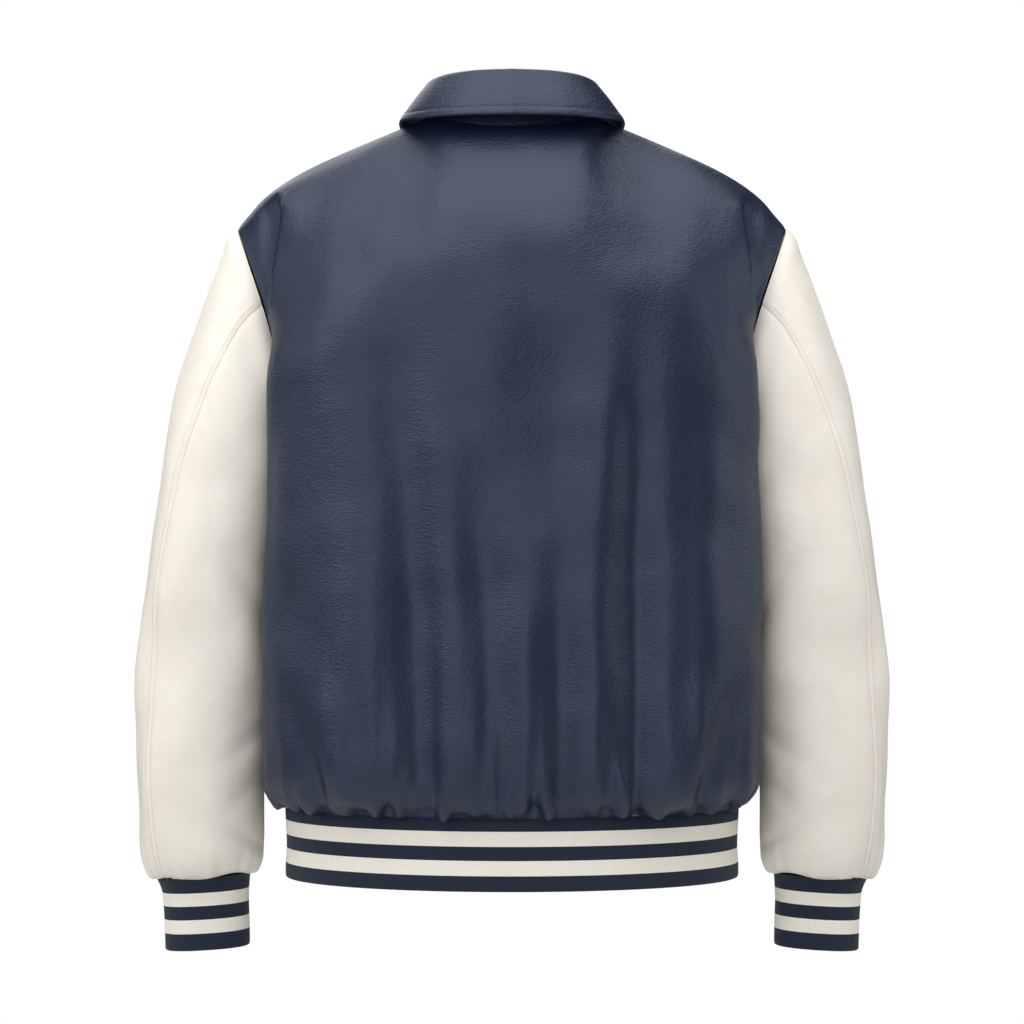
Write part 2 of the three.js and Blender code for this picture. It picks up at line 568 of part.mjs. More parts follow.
function collarLeaf() {
  const radius = ROLL + COLLAR / 2;
  const sections = collarAngles.map(collarSection);
  const grid = toRows(
    sections.map((section) => {
      const rise = [-STAND_STOP, -ROLL].map((high) => besideRoll(section, -radius, high));
      const roll = ROLL_DEGREES.map((deg) => {
        const [across, up] = [Math.cos(radians(deg)), Math.sin(radians(deg))];
        return besideRoll(section, radius * across, radius * up - ROLL);
      });
      const start = roll[roll.length - 1];
      const end = section.edge.clone().addScaledVector(section.out, COLLAR / 2);
      const leaf = LEAF_SHARES.map((t) =>
        start.clone().lerp(end, t).addScaledVector(section.out, 4 * LEAF_BOW * t * (1 - t)),
      );
      return [...rise, ...roll, ...leaf];
    }),
  );
  const normals = gridNormals(grid);
  sections.forEach(({ out }, i) => normals[0][i].copy(out).negate());
  return wall(grid, COLLAR, { normals });
}
add("collar_stand", collarStand(), navyLeather);
add("collar_leaf", collarLeaf(), navyLeather);

// ---- Snap fasteners ----
const SNAP_HEIGHTS = [-108, -208, -308, -408, -508]; // on the left front; one more sits on the hem band
const SNAP_SIDES = 14;
const SNAP_ROUNDING = 0.5;
const HEM_SNAP_SEAT = 1.2; // the hem's snap sits this deep in the rib
const snapProfile = [
  [0, 0],
  [SNAP.radius - SNAP_ROUNDING, 0],
  [SNAP.radius, SNAP.rim],
  [SNAP.radius * SNAP.crown, SNAP.height - SNAP_ROUNDING],
  [0, SNAP.height],
].map(([r, h]) => new THREE.Vector2(r, h));
const snapCap = new THREE.LatheGeometry(snapProfile, SNAP_SIDES);

function addSnap(number, seat, outward) {
  const cap = add(`snap_${number}`, snapCap, snapMetal);
  cap.position.copy(seat).addScaledVector(outward, SNAP.seat);
  cap.quaternion.setFromUnitVectors(new THREE.Vector3(0, 1, 0), outward);
}

// A place on the centre front, and the way it faces.
function centreFront(z) {
  const v = (z - HEM.seam) / (topEdge(1, -1).z - HEM.seam);
  const step = EDGE_STEP / 4;
  const [low, seat, high] = [v - step, v, v + step].map((level) => torsoPoint(1, level, -1));
  const up = high.sub(low);
  return { seat, outward: new THREE.Vector3(0, -up.z, up.y).normalize() };
}
SNAP_HEIGHTS.forEach((z, i) => {
  const { seat, outward } = centreFront(z);
  addSnap(i + 1, seat, outward);
});
addSnap(
  SNAP_HEIGHTS.length + 1,
  new THREE.Vector3(0, -HEM.depth + HEM_SNAP_SEAT, (HEM.seam + HEM.edge) / 2),
  new THREE.Vector3(0, -1, 0),
);

export default jacket;
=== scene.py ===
"""A varsity jacket in its worn form: navy leather body and shirt collar, cream leather sleeves, striped rib bands.

Every length is in metres. +Z is up, the wearer's front faces -Y and the wearer's left is +X. A cloth piece is a
grid of points, rows going up and columns going counterclockwise seen from above, moved out along its normals by
its folds and given a thickness.
"""

import json
import math

import bpy
import numpy as np
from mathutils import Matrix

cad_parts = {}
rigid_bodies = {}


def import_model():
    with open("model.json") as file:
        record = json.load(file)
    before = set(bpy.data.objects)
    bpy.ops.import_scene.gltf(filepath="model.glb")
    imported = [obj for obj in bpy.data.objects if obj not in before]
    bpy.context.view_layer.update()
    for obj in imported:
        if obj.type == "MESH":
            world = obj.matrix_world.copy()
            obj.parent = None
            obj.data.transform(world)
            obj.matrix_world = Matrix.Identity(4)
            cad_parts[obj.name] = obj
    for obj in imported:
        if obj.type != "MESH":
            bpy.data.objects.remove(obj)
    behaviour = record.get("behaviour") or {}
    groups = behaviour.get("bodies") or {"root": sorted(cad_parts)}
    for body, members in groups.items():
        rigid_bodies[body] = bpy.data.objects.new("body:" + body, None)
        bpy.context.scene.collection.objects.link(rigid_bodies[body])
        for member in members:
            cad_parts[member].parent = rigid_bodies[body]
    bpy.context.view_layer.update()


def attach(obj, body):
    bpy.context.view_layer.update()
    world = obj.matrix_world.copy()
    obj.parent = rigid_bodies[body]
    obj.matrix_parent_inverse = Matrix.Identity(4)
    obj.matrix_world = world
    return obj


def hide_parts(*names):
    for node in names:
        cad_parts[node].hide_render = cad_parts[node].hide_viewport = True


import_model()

# ---- Camera ----
CAMERA_DISTANCE = 2.7
CAMERA_HEIGHT = -0.3507
FIELD_OF_VIEW = math.radians(19.15)

camera_data = bpy.data.cameras.new("camera")
camera_data.sensor_width = 36
camera_data.angle = FIELD_OF_VIEW
camera = bpy.data.objects.new("camera", camera_data)
camera.location = (0, CAMERA_DISTANCE, CAMERA_HEIGHT)
camera.rotation_euler = (math.pi / 2, 0, math.pi)
bpy.context.scene.collection.objects.link(camera)
bpy.context.scene.camera = camera

# ---- Sizes ----
MM = 0.001
LEATHER = 2.5 * MM
RIB = 3 * MM
COLLAR = 3 * MM
GAP = 0.3 * MM

NECK_HALF = 0.078
NECK = {1: (0.066, 0.014, 2.0), -1: (0.066, 0.062, 1.5)}  # depth, drop and the drop's power, behind and in front
TIP_X, TIP_Z, TIP_SLOPE = 0.245, -0.098, 0.42
UNDERARM_X, UNDERARM_Z = 0.189, -0.310
ARMHOLE_BOW = {1: 0.052, -1: 0.058}
ARMHOLE_ROUND, ARMHOLE_LEAN = 0.55, 1.6
ROUND_SHOULDER, ROUND_NECK = 0.160, 0.120
HEM_SEAM, HEM_EDGE, HEM_HALF, HEM_DEPTH = -0.612, -0.674, 0.201, 0.121
OVERLAP = 0.015
UNDERLAP_STEP, UNDERLAP_FROM, UNDERLAP_TO = 0.0036, 0.072, 0.036
PRESS = {1: (0.018, 0.080), -1: (0.024, 0.102)}  # the arm's hollow in the side: its flat middle, and where it ends
NECK_START = 0.8
UNDERARM_LEVEL = (UNDERARM_Z - HEM_SEAM) / (TIP_Z - HEM_SEAM)


def table(names, rows):
    """A short table as a dictionary of columns."""
    return dict(zip(names.split(), np.array(rows, float).T))


TORSO = table(
    "z half side back front square",
    [
        (-0.612, 0.202, 0.202, 0.121, 0.121, 2.0),
        (-0.604, 0.217, 0.208, 0.133, 0.1315, 2.4),
        (-0.592, 0.226, 0.212, 0.141, 0.1385, 2.65),
        (-0.570, 0.229, 0.212, 0.1465, 0.143, 2.75),
        (-0.530, 0.231, 0.2095, 0.1475, 0.1445, 2.8),
        (-0.450, 0.229, 0.202, 0.144, 0.143, 2.9),
        (-0.370, 0.224, 0.194, 0.140, 0.142, 3.3),
        (-0.310, 0.220, 0.189, 0.138, 0.141, 3.5),
        (-0.240, 0.216, 0.194, 0.136, 0.140, 3.4),
        (-0.180, 0.211, 0.211, 0.134, 0.138, 3.0),
        (-0.098, 0.205, 0.245, 0.130, 0.132, 2.4),
    ],
)
SLEEVE = table(
    "at out_x out_z in_x in_z depth mid",
    [
        (0, 0.245, -0.098, 0.189, -0.310, 0.055, -0.003),
        (1, 0.261, -0.129, 0.193, -0.315, 0.064, -0.004),
        (2, 0.277, -0.176, 0.196, -0.321, 0.072, -0.005),
        (3, 0.291, -0.222, 0.1985, -0.330, 0.076, -0.006),
        (4, 0.304, -0.274, 0.201, -0.346, 0.077, -0.007),
        (5, 0.3155, -0.330, 0.2035, -0.374, 0.076, -0.008),
        (6, 0.3245, -0.388, 0.2075, -0.414, 0.073, -0.009),
        (7, 0.331, -0.447, 0.2115, -0.462, 0.070, -0.011),
        (8, 0.335, -0.510, 0.2155, -0.517, 0.066, -0.012),
        (9, 0.3368, -0.570, 0.2195, -0.571, 0.061, -0.014),
        (10, 0.334, -0.624, 0.2222, -0.620, 0.055, -0.016),
        (11, 0.330, -0.658, 0.2235, -0.652, 0.049, -0.017),
        (12, 0.325, -0.673, 0.228, -0.6675, 0.042, -0.018),
        (13, 0.3175, -0.6775, 0.2345, -0.6725, 0.033, -0.018),
    ],
)
CUFF = table(
    "at out_x out_z in_x in_z depth mid",
    [
        (0, 0.310, -0.742, 0.2348, -0.7375, 0.027, -0.018),
        (1, 0.3106, -0.7205, 0.2352, -0.716, 0.028, -0.018),
        (2, 0.3116, -0.7025, 0.2358, -0.698, 0.028, -0.018),
        (3, 0.313, -0.689, 0.2354, -0.6845, 0.0295, -0.018),
        (4, 0.3175, -0.678, 0.2345, -0.673, 0.033, -0.018),
    ],
)
COLLAR_LINE = table(
    "deg fold_x fold_y fold_z edge_x edge_y edge_z",
    [
        (0, 0, 0.060, 0.0335, 0, 0.088, -0.0085),
        (30, 0.035, 0.0525, 0.033, 0.052, 0.079, -0.0085),
        (60, 0.060, 0.031, 0.0315, 0.088, 0.046, -0.008),
        (90, 0.0685, 0, 0.028, 0.0995, 0, -0.0055),
        (120, 0.060, -0.033, 0.015, 0.097, -0.052, -0.014),
        (150, 0.035, -0.058, -0.008, 0.080, -0.097, -0.048),
        (178, 0.0022, -0.068, -0.031, 0.052, -0.127, -0.100),
    ],
)
SLEEVE_LAST = SLEEVE["at"][-1]
CUFF_LAST = CUFF["at"][-1]
COLLAR_END = COLLAR_LINE["deg"][-1]
ELLIPSE_POWER = 0.9
ELBOW_LEVEL, FOREARM_LEVEL = 0.665, 0.28
ELBOW_LOW_DEG, ELBOW_SETTLED = 50, 7
ROLL = 0.0042
ROLL_OUT = 0.0100  # the roll is rounder on the leaf's side
STAND_STOP = 0.010
SEAM_TURN = 0.0016  # how far a sewn-on piece reaches in behind its neighbour's edge


# ---- Curves ----
def lerp(a, b, t):
    return a + (b - a) * t


def ease(x):
    """Smooth step: 3t² - 2t³ of x held between 0 and 1."""
    t = np.clip(x, 0, 1)
    return t * t * (3 - 2 * t)


def bell(x):
    return np.exp(-x * x)


def curve(rows, key, x, along):
    """A table's column as a cubic through its rows, whose slope at each row is that of its neighbours' chord."""
    places, values = rows[along], rows[key]
    last = len(places) - 1
    x = np.clip(x, places[0], places[-1])
    i = np.clip(np.searchsorted(places, x) - 1, 0, last - 1)
    before, after = np.maximum(i - 1, 0), np.minimum(i + 2, last)
    width = places[i + 1] - places[i]
    t = (x - places[i]) / width
    slope_a = (values[i + 1] - values[before]) / (places[i + 1] - places[before]) * width
    slope_b = (values[after] - values[i]) / (places[after] - places[i]) * width
    t2, t3 = t * t, t * t * t
    ends = (2 * t3 - 3 * t2 + 1) * values[i] + (3 * t2 - 2 * t3) * values[i + 1]
    return ends + (t3 - 2 * t2 + t) * slope_a + (t3 - t2) * slope_b


def stack(*parts):
    return np.stack(np.broadcast_arrays(*parts), -1)


# ---- Base surfaces, the same as the frame's ----
def armhole(t, face):
    """The armhole's edge from the underarm (t 0) to the shoulder tip (1): a lens that bows back and forward."""
    bow = np.where(face > 0, ARMHOLE_BOW[1], ARMHOLE_BOW[-1])
    return stack(
        lerp(UNDERARM_X, TIP_X, t**ARMHOLE_LEAN),
        face * bow * (4 * t * (1 - t)) ** ARMHOLE_ROUND,
        lerp(UNDERARM_Z, TIP_Z, t),
    )


def top_edge(s, face):
    """A half panel's top edge: the shoulder seam in to the neck, a slope plus a sixth power, then a neck ellipse."""
    share = np.cos(np.radians(90 * np.clip(s / NECK_START, 0, 1)))
    straight = TIP_SLOPE * (TIP_X - NECK_HALF)
    turn = np.radians(90 * np.clip((s - NECK_START) / (1 - NECK_START), 0, 1))
    depth, drop, power = NECK[face]
    on_neck = s > NECK_START
    x = np.where(on_neck, NECK_HALF * np.cos(turn), lerp(NECK_HALF, TIP_X, share))
    y = np.where(on_neck, depth * np.sin(turn), 0)
    z = np.where(on_neck, -drop * np.sin(turn) ** power, -straight * share - (-TIP_Z - straight) * share**6)
    return x, y, z


def torso(s, v, face):
    """The torso's left half, s from side (0) to centre (1), v from hem (0) to top (1).

    A row is a superellipse of the table's width and depth. Towards the top its widths blend into the top edge's, its
    depth rounds over to it, and at the side it is pressed in where the arm hangs.
    """
    top_x, top_y, top_z = top_edge(s, face)
    edge_z = lerp(HEM_SEAM, TIP_Z, v)
    t = np.clip((edge_z - UNDERARM_Z) / (TIP_Z - UNDERARM_Z), 0, 1)
    above = edge_z > UNDERARM_Z
    arm = armhole(t, face)
    half = curve(TORSO, "half", edge_z, "z")
    side = np.where(above, arm[..., 0], curve(TORSO, "side", edge_z, "z"))
    half = np.where(above, np.maximum(arm[..., 0], half), half)
    edge_y = np.where(above, np.abs(arm[..., 1]), 0)
    depth = curve(TORSO, "back" if face > 0 else "front", edge_z, "z")
    square = curve(TORSO, "square", edge_z, "z")
    spread = square / 2
    turn = np.pi / 2 * s**spread / (s**spread + (1 - s) ** spread)
    across = np.maximum(np.cos(turn), 0) ** (2 / square)
    along = np.sin(turn) ** (2 / square)
    width_share = lerp(across, top_x / TIP_X, ease((v - UNDERARM_LEVEL) / (1 - UNDERARM_LEVEL)))
    z = lerp(HEM_SEAM, top_z, v)
    height = lerp(ROUND_SHOULDER, ROUND_NECK, ease((s - 0.55) / 0.45))
    rounded = 1 - (1 - np.clip((top_z - z) / height, 0, 1)) ** 2
    capped = top_y + (depth - top_y) * rounded ** lerp(0.5, 1, ease((s - 0.35) / 0.5))
    y = edge_y + (capped - edge_y) * along
    flat, end = PRESS[face]
    start = np.maximum(flat, edge_y)
    pressed = 1 - ease((y - start) / (end - start))
    return stack(half * width_share - (half - side) * pressed, face * y, z)


def level_angle(t):
    return np.degrees(np.arccos(2 * t - 1))


ELBOW_DEG = level_angle(ELBOW_LEVEL)
FOREARM_DEG = 360 - level_angle(FOREARM_LEVEL)


def ring(rows, at, deg):
    """A tilted oval ring through the table's outer and inner points, a little squarer than an ellipse."""
    turn = np.radians(deg)
    across = np.sign(np.cos(turn)) * np.abs(np.cos(turn)) ** ELLIPSE_POWER
    along = np.sign(np.sin(turn)) * np.abs(np.sin(turn)) ** ELLIPSE_POWER
    share = (1 + across) / 2
    read = {key: curve(rows, key, at, "at") for key in ("out_x", "out_z", "in_x", "in_z", "depth", "mid")}
    return stack(
        lerp(read["in_x"], read["out_x"], share),
        read["mid"] + read["depth"] * along,
        lerp(read["in_z"], read["out_z"], share),
    )


def sleeve_angle(deg, at):
    """Columns on the sleeve's back turn with the elbow seam, which drifts outwards as it goes down."""
    seam = lerp(ELBOW_DEG, ELBOW_LOW_DEG, ease(at / ELBOW_SETTLED))
    outer = deg * seam / ELBOW_DEG
    under = 180 - (180 - deg) * (180 - seam) / (180 - ELBOW_DEG)
    return np.where(deg > 180, deg, np.where(deg < ELBOW_DEG, outer, under))


def sleeve(deg, at):
    """The left sleeve: a ring at each place down the arm, whose first three blend into the armhole's edge."""
    deg = np.mod(deg, 360)
    point = ring(SLEEVE, at, sleeve_angle(deg, at))
    fade = (1 - np.clip(at / 3, 0, 1)) ** 2
    level = (1 + np.cos(np.radians(deg))) / 2
    shift = armhole(level, np.where(deg <= 180, 1, -1)) - ring(SLEEVE, 0, deg)
    return point + shift * (fade + 0 * deg)[..., None]


# ---- Grids ----
def grid_normals(points, wraps=False):
    """Unit normals: the cross product of each point's slope along its row and up its column."""
    if wraps:
        along = np.roll(points, -1, 1) - np.roll(points, 1, 1)
    else:
        along = np.gradient(points, axis=1)
    normals = np.cross(along, np.gradient(points, axis=0))
    return normals / np.maximum(np.linalg.norm(normals, axis=-1, keepdims=True), 1e-12)


def running(points, axis):
    """Distance run from the first column (axis 1) or row (axis 0) to each point."""
    steps = np.linalg.norm(np.diff(points, axis=axis), axis=-1)
    start = np.zeros_like(np.take(steps, [0], axis=axis))
    return np.concatenate([start, np.cumsum(steps, axis=axis)], axis=axis)


def edges(points):
    """Each point's distance from a panel's four edges, run along its row or column."""
    across, up = running(points, 1), running(points, 0)
    return {"first": across, "last": across[:, -1:] - across, "low": up, "high": up[-1:] - up}


def blurred(points, axis, reach):
    """Each point as the bell-weighted mean of those within a few rows or columns of it."""
    index = np.arange(points.shape[axis])
    weight = bell((index[:, None] - index) / reach)
    weight /= weight.sum(axis=1, keepdims=True)
    return np.moveaxis(np.tensordot(weight, points, (1, axis)), 0, axis)


def settled(base):
    """Body leather bridges the pattern's corners: it is blurred along its rows over the upper middle, and up its
    columns all over, away from the panel's edges."""
    far = edges(base)
    side = np.minimum(far["first"], far["last"])
    by_row = ease((side - 0.050) / 0.050) * ease(far["high"] / 0.012) * ease((base[..., 2] + 0.45) / 0.15)
    by_column = ease(side / 0.015) * ease(far["high"] / 0.070) * ease(far["low"] / 0.090)
    base = lerp(base, blurred(base, 1, 9), by_row[..., None])
    return lerp(base, blurred(base, 0, 9), by_column[..., None])


def rounded_edge(distance, radius):
    """Share of the full thickness near a folded edge: a half circle."""
    return np.sqrt(1 - (1 - np.clip(distance / radius, 0.004, 1)) ** 2)


def quads(rows, columns, wraps):
    """Corner indices of a grid's quads, facing out, and the pairs of border points in order."""
    index = np.arange(rows * columns).reshape(rows, columns)
    if wraps:
        index = np.concatenate([index, index[:, :1]], axis=1)
    faces = stack(index[:-1, :-1], index[:-1, 1:], index[1:, 1:], index[1:, :-1]).reshape(-1, 4)
    return index, faces


def mesh_object(name, points, faces, materials, slots=None, uv=None):
    """A mesh of quads, smooth but for its sharp corners."""
    mesh = bpy.data.meshes.new(name)
    mesh.vertices.add(len(points))
    mesh.vertices.foreach_set("co", np.ascontiguousarray(points, dtype=np.float32).ravel())
    mesh.loops.add(faces.size)
    mesh.loops.foreach_set("vertex_index", faces.astype(np.int32).ravel())
    mesh.polygons.add(len(faces))
    mesh.polygons.foreach_set("loop_start", np.arange(0, faces.size, faces.shape[1], dtype=np.int32))
    for material in materials:
        mesh.materials.append(material)
    if slots is not None:
        mesh.polygons.foreach_set("material_index", slots.astype(np.int32))
    if uv is not None:
        layer = mesh.uv_layers.new(name="cloth")
        layer.data.foreach_set("uv", uv[faces.ravel()].astype(np.float32).ravel())
    mesh.update(calc_edges=True)
    mesh.shade_smooth()
    mesh.set_sharp_from_angle(angle=math.radians(55))
    piece = bpy.data.objects.new(name, mesh)
    bpy.context.scene.collection.objects.link(piece)
    return piece


def shell(name, outer, inner, materials, wraps=False, uv=None):
    """A closed wall between an outer and an inner grid. The second material, if any, is on the inside."""
    rows, columns = outer.shape[:2]
    index, face = quads(rows, columns, wraps)
    shift = rows * columns
    low, high = index[0], index[-1]
    rims = [
        stack(low[:-1] + shift, low[1:] + shift, low[1:], low[:-1]),
        stack(high[:-1], high[1:], high[1:] + shift, high[:-1] + shift),
    ]
    if not wraps:
        first, last = index[:, 0], index[:, -1]
        rims.append(stack(first[:-1] + shift, first[:-1], first[1:], first[1:] + shift))
        rims.append(stack(last[:-1], last[:-1] + shift, last[1:] + shift, last[1:]))
    faces = np.concatenate([face, face[:, ::-1] + shift, *rims])
    slots = np.zeros(len(faces))
    slots[len(face) : 2 * len(face)] = len(materials) - 1
    if uv is not None:
        uv = np.concatenate([uv.reshape(-1, 2)] * 2)
    points = np.concatenate([outer.reshape(-1, 3), inner.reshape(-1, 3)])
    return mesh_object(name, points, faces, materials, slots, uv)


def mirrored(points):
    """The same grid on the wearer's other side, with its columns turned round so that it still faces out."""
    return points[:, ::-1] * (-1, 1, 1)


# ---- Materials ----
def linear(code):
    """An sRGB hex colour as linear red, green, blue and alpha."""
    parts = [int(code[i : i + 2], 16) / 255 for i in (1, 3, 5)]
    return [c / 12.92 if c <= 0.04045 else ((c + 0.055) / 1.055) ** 2.4 for c in parts] + [1.0]


def node(tree, kind, inputs=None, **settings):
    """Adds a node with its settings. An input's value is a number, a colour or another node's output."""
    made = tree.nodes.new(kind)
    for key, value in settings.items():
        setattr(made, key, value)
    for key, value in (inputs or {}).items():
        if isinstance(value, bpy.types.NodeSocket):
            tree.links.new(value, made.inputs[key])
        else:
            made.inputs[key].default_value = value
    return made


def new_material(name):
    """A material with only its Principled shader: returns the material, its tree and the shader."""
    material = bpy.data.materials.new(name)
    material.use_nodes = True
    return material, material.node_tree, material.node_tree.nodes["Principled BSDF"]


def leather(name, light, dark, roughness, gloss, grain_depth, patch_depth):
    """Drum-dyed grain leather, milled soft: a fine pebble that the hide's stretch draws out sideways, over slow
    swellings. The pebble breaks up the shine, and the dye is a little uneven."""
    material, tree, shader = new_material(name)
    place = node(tree, "ShaderNodeTexCoord").outputs["Object"]
    drawn = node(tree, "ShaderNodeMapping", {"Vector": place, "Scale": (1, 1, 2.1)}).outputs[0]
    # The hide's 1.2 mm pebbles are drawn at 3.2 mm, as coarse as they need to be to show.
    pebble = node(
        tree, "ShaderNodeTexVoronoi", {"Vector": drawn, "Scale": 1 / 0.0032, "Smoothness": 0.6}, feature="SMOOTH_F1"
    )
    creases = node(tree, "ShaderNodeTexNoise", {"Vector": drawn, "Scale": 1 / 0.0055, "Detail": 4.0, "Roughness": 0.65})
    swell = node(tree, "ShaderNodeTexNoise", {"Vector": place, "Scale": 1 / 0.03, "Detail": 2.0, "Roughness": 0.5})
    both = node(
        tree,
        "ShaderNodeMath",
        {0: pebble.outputs["Distance"], 1: creases.outputs["Fac"]},
        operation="ADD",
    )
    fine = node(
        tree, "ShaderNodeBump", {"Height": both.outputs[0], "Strength": 1.0, "Distance": grain_depth}
    )
    slow = node(
        tree,
        "ShaderNodeBump",
        {"Height": swell.outputs["Fac"], "Strength": 1.0, "Distance": patch_depth, "Normal": fine.outputs[0]},
    )
    ramp = node(tree, "ShaderNodeValToRGB", {"Fac": swell.outputs["Fac"]})
    ramp.color_ramp.elements[0].position, ramp.color_ramp.elements[0].color = 0.3, linear(dark)
    ramp.color_ramp.elements[1].position, ramp.color_ramp.elements[1].color = 0.7, linear(light)
    tree.links.new(ramp.outputs["Color"], shader.inputs["Base Color"])
    tree.links.new(slow.outputs[0], shader.inputs["Normal"])
    shader.inputs["Roughness"].default_value = roughness
    shader.inputs["Specular IOR Level"].default_value = gloss
    shader.inputs["Specular Tint"].default_value = linear("#cbdaf2")
    return material


navy_leather = leather("navy grain leather", "#101d34", "#0d192e", 0.45, 1.0, 0.00028, 0.0009)
cream_leather = leather("cream grain leather", "#eee9dd", "#e9e3d6", 0.55, 0.4, 0.00012, 0.0008)


def stripe_edges(edges_mm, tree, height):
    """1 inside the pale stripes: the sum of steps up and down at each edge's height."""
    total = None
    for i, edge in enumerate(edges_mm):
        step = node(tree, "ShaderNodeMath", {0: height, 1: edge * MM}, operation="GREATER_THAN").outputs[0]
        if total is None:
            total = step
        else:
            way = "SUBTRACT" if i % 2 else "ADD"
            total = node(tree, "ShaderNodeMath", {0: total, 1: step}, operation=way).outputs[0]
    return total


def rib_knit(name, edges_mm):
    """Wool-blend rib knit, striped as it was knitted: matt, with a soft bloom of fibre at grazing angles. Each
    course of stitches is a row of small arches across the ribs."""
    material, tree, shader = new_material(name)
    flat = node(tree, "ShaderNodeUVMap", uv_map="cloth").outputs["UV"]
    split = node(tree, "ShaderNodeSeparateXYZ", {"Vector": flat})
    stripe = stripe_edges(edges_mm, tree, split.outputs["Y"])
    fuzz = node(tree, "ShaderNodeTexNoise", {"Vector": flat, "Scale": 1 / 0.0012, "Detail": 2.0})
    colour = node(tree, "ShaderNodeMix", {"Factor": stripe}, data_type="RGBA")
    colour.inputs["A"].default_value = linear("#0d1c32")
    colour.inputs["B"].default_value = linear("#ebe6dc")
    course = node(
        tree,
        "ShaderNodeMath",
        {0: split.outputs["Y"], 1: 2 * math.pi / 0.0014},
        operation="MULTIPLY",
    )
    arches = node(tree, "ShaderNodeMath", {0: course.outputs[0]}, operation="SINE")
    height = node(tree, "ShaderNodeMath", {0: arches.outputs[0], 1: fuzz.outputs["Fac"]}, operation="ADD")
    bump = node(
        tree, "ShaderNodeBump", {"Height": height.outputs[0], "Strength": 0.6, "Distance": 0.00015}
    )
    tree.links.new(colour.outputs["Result"], shader.inputs["Base Color"])
    tree.links.new(bump.outputs[0], shader.inputs["Normal"])
    shader.inputs["Roughness"].default_value = 0.9
    shader.inputs["Sheen Weight"].default_value = 0.15
    shader.inputs["Sheen Roughness"].default_value = 0.5
    return material


HEM_STRIPES = (13.6, 26.5, 38.6, 51.5)
CUFF_STRIPES = (15.4, 27.7, 39.8, 51.6)
hem_rib = rib_knit("striped hem rib knit", HEM_STRIPES)
cuff_rib = rib_knit("striped cuff rib knit", CUFF_STRIPES)


def satin_lining():
    """Navy satin: the smooth side of the shell's backing, seen only through the neck, hem and cuffs."""
    material, tree, shader = new_material("navy satin lining")
    place = node(tree, "ShaderNodeTexCoord").outputs["Object"]
    weave = node(tree, "ShaderNodeTexNoise", {"Vector": place, "Scale": 1 / 0.012, "Detail": 2.0})
    bump = node(tree, "ShaderNodeBump", {"Height": weave.outputs["Fac"], "Strength": 0.5, "Distance": 0.0012})
    tree.links.new(bump.outputs[0], shader.inputs["Normal"])
    shader.inputs["Base Color"].default_value = linear("#1c2740")
    shader.inputs["Roughness"].default_value = 0.42
    shader.inputs["Anisotropic"].default_value = 0.3
    return material


def polyester_thread(name, code):
    """Bonded polyester thread: a slight gloss on each twisted stitch."""
    material, tree, shader = new_material(name)
    place = node(tree, "ShaderNodeTexCoord").outputs["Object"]
    twist = node(tree, "ShaderNodeTexNoise", {"Vector": place, "Scale": 1 / 0.0006})
    bump = node(tree, "ShaderNodeBump", {"Height": twist.outputs["Fac"], "Strength": 0.5, "Distance": 0.0001})
    tree.links.new(bump.outputs[0], shader.inputs["Normal"])
    shader.inputs["Base Color"].default_value = linear(code)
    shader.inputs["Roughness"].default_value = 0.5
    return material


def enamelled_brass():
    """Snap caps of pressed brass under satin navy enamel: an even soft shine with faint orange peel."""
    material, tree, shader = new_material("navy enamelled brass")
    place = node(tree, "ShaderNodeTexCoord").outputs["Object"]
    peel = node(tree, "ShaderNodeTexNoise", {"Vector": place, "Scale": 1 / 0.0008})
    bump = node(tree, "ShaderNodeBump", {"Height": peel.outputs["Fac"], "Strength": 0.15, "Distance": 0.0001})
    tree.links.new(bump.outputs[0], shader.inputs["Normal"])
    shader.inputs["Base Color"].default_value = linear("#2b3a55")
    shader.inputs["Roughness"].default_value = 0.28
    shader.inputs["Coat Weight"].default_value = 0.3
    return material


lining = satin_lining()
navy_thread = polyester_thread("navy polyester thread", "#1c2537")
cream_thread = polyester_thread("cream polyester thread", "#d8d0bf")
snap_enamel = enamelled_brass()

# ---- Folds ----
# Soft ridges and troughs of the body leather: a line from top to low end, bowed sideways, with a half width and how
# far it stands out (in, if negative). x runs along the cloth from the centre line.
FOLD_NAMES = "top_x top_z low_x low_z bow width out"
BACK_FOLDS = table(
    FOLD_NAMES,
    [
        (0.104, -0.170, 0.072, -0.612, -0.006, 0.025, -0.0118),
        (-0.108, -0.140, -0.104, -0.612, 0.000, 0.022, -0.0120),
        (0.030, -0.300, 0.004, -0.612, 0.000, 0.019, -0.0054),
        (-0.041, -0.360, -0.040, -0.612, 0.000, 0.017, -0.0060),
        (-0.148, -0.220, -0.140, -0.600, -0.003, 0.018, -0.0014),
        (0.144, -0.220, 0.116, -0.600, 0.004, 0.028, 0.0040),
        (0.066, -0.130, 0.050, -0.612, 0.003, 0.022, 0.0062),
        (-0.012, -0.360, -0.014, -0.612, 0.000, 0.016, 0.0036),
        (-0.078, -0.110, -0.074, -0.612, 0.000, 0.024, 0.0062),
        (-0.132, -0.360, -0.124, -0.612, 0.000, 0.019, 0.0034),
        (-0.178, -0.160, -0.170, -0.580, 0.000, 0.024, 0.0046),
        (0.197, -0.480, 0.158, -0.612, 0.006, 0.014, -0.0048),
        (0.164, -0.460, 0.130, -0.612, 0.006, 0.018, 0.0046),
        (-0.197, -0.480, -0.158, -0.612, -0.006, 0.014, -0.0048),
        (-0.166, -0.470, -0.144, -0.612, 0.000, 0.016, 0.0040),
    ],
)
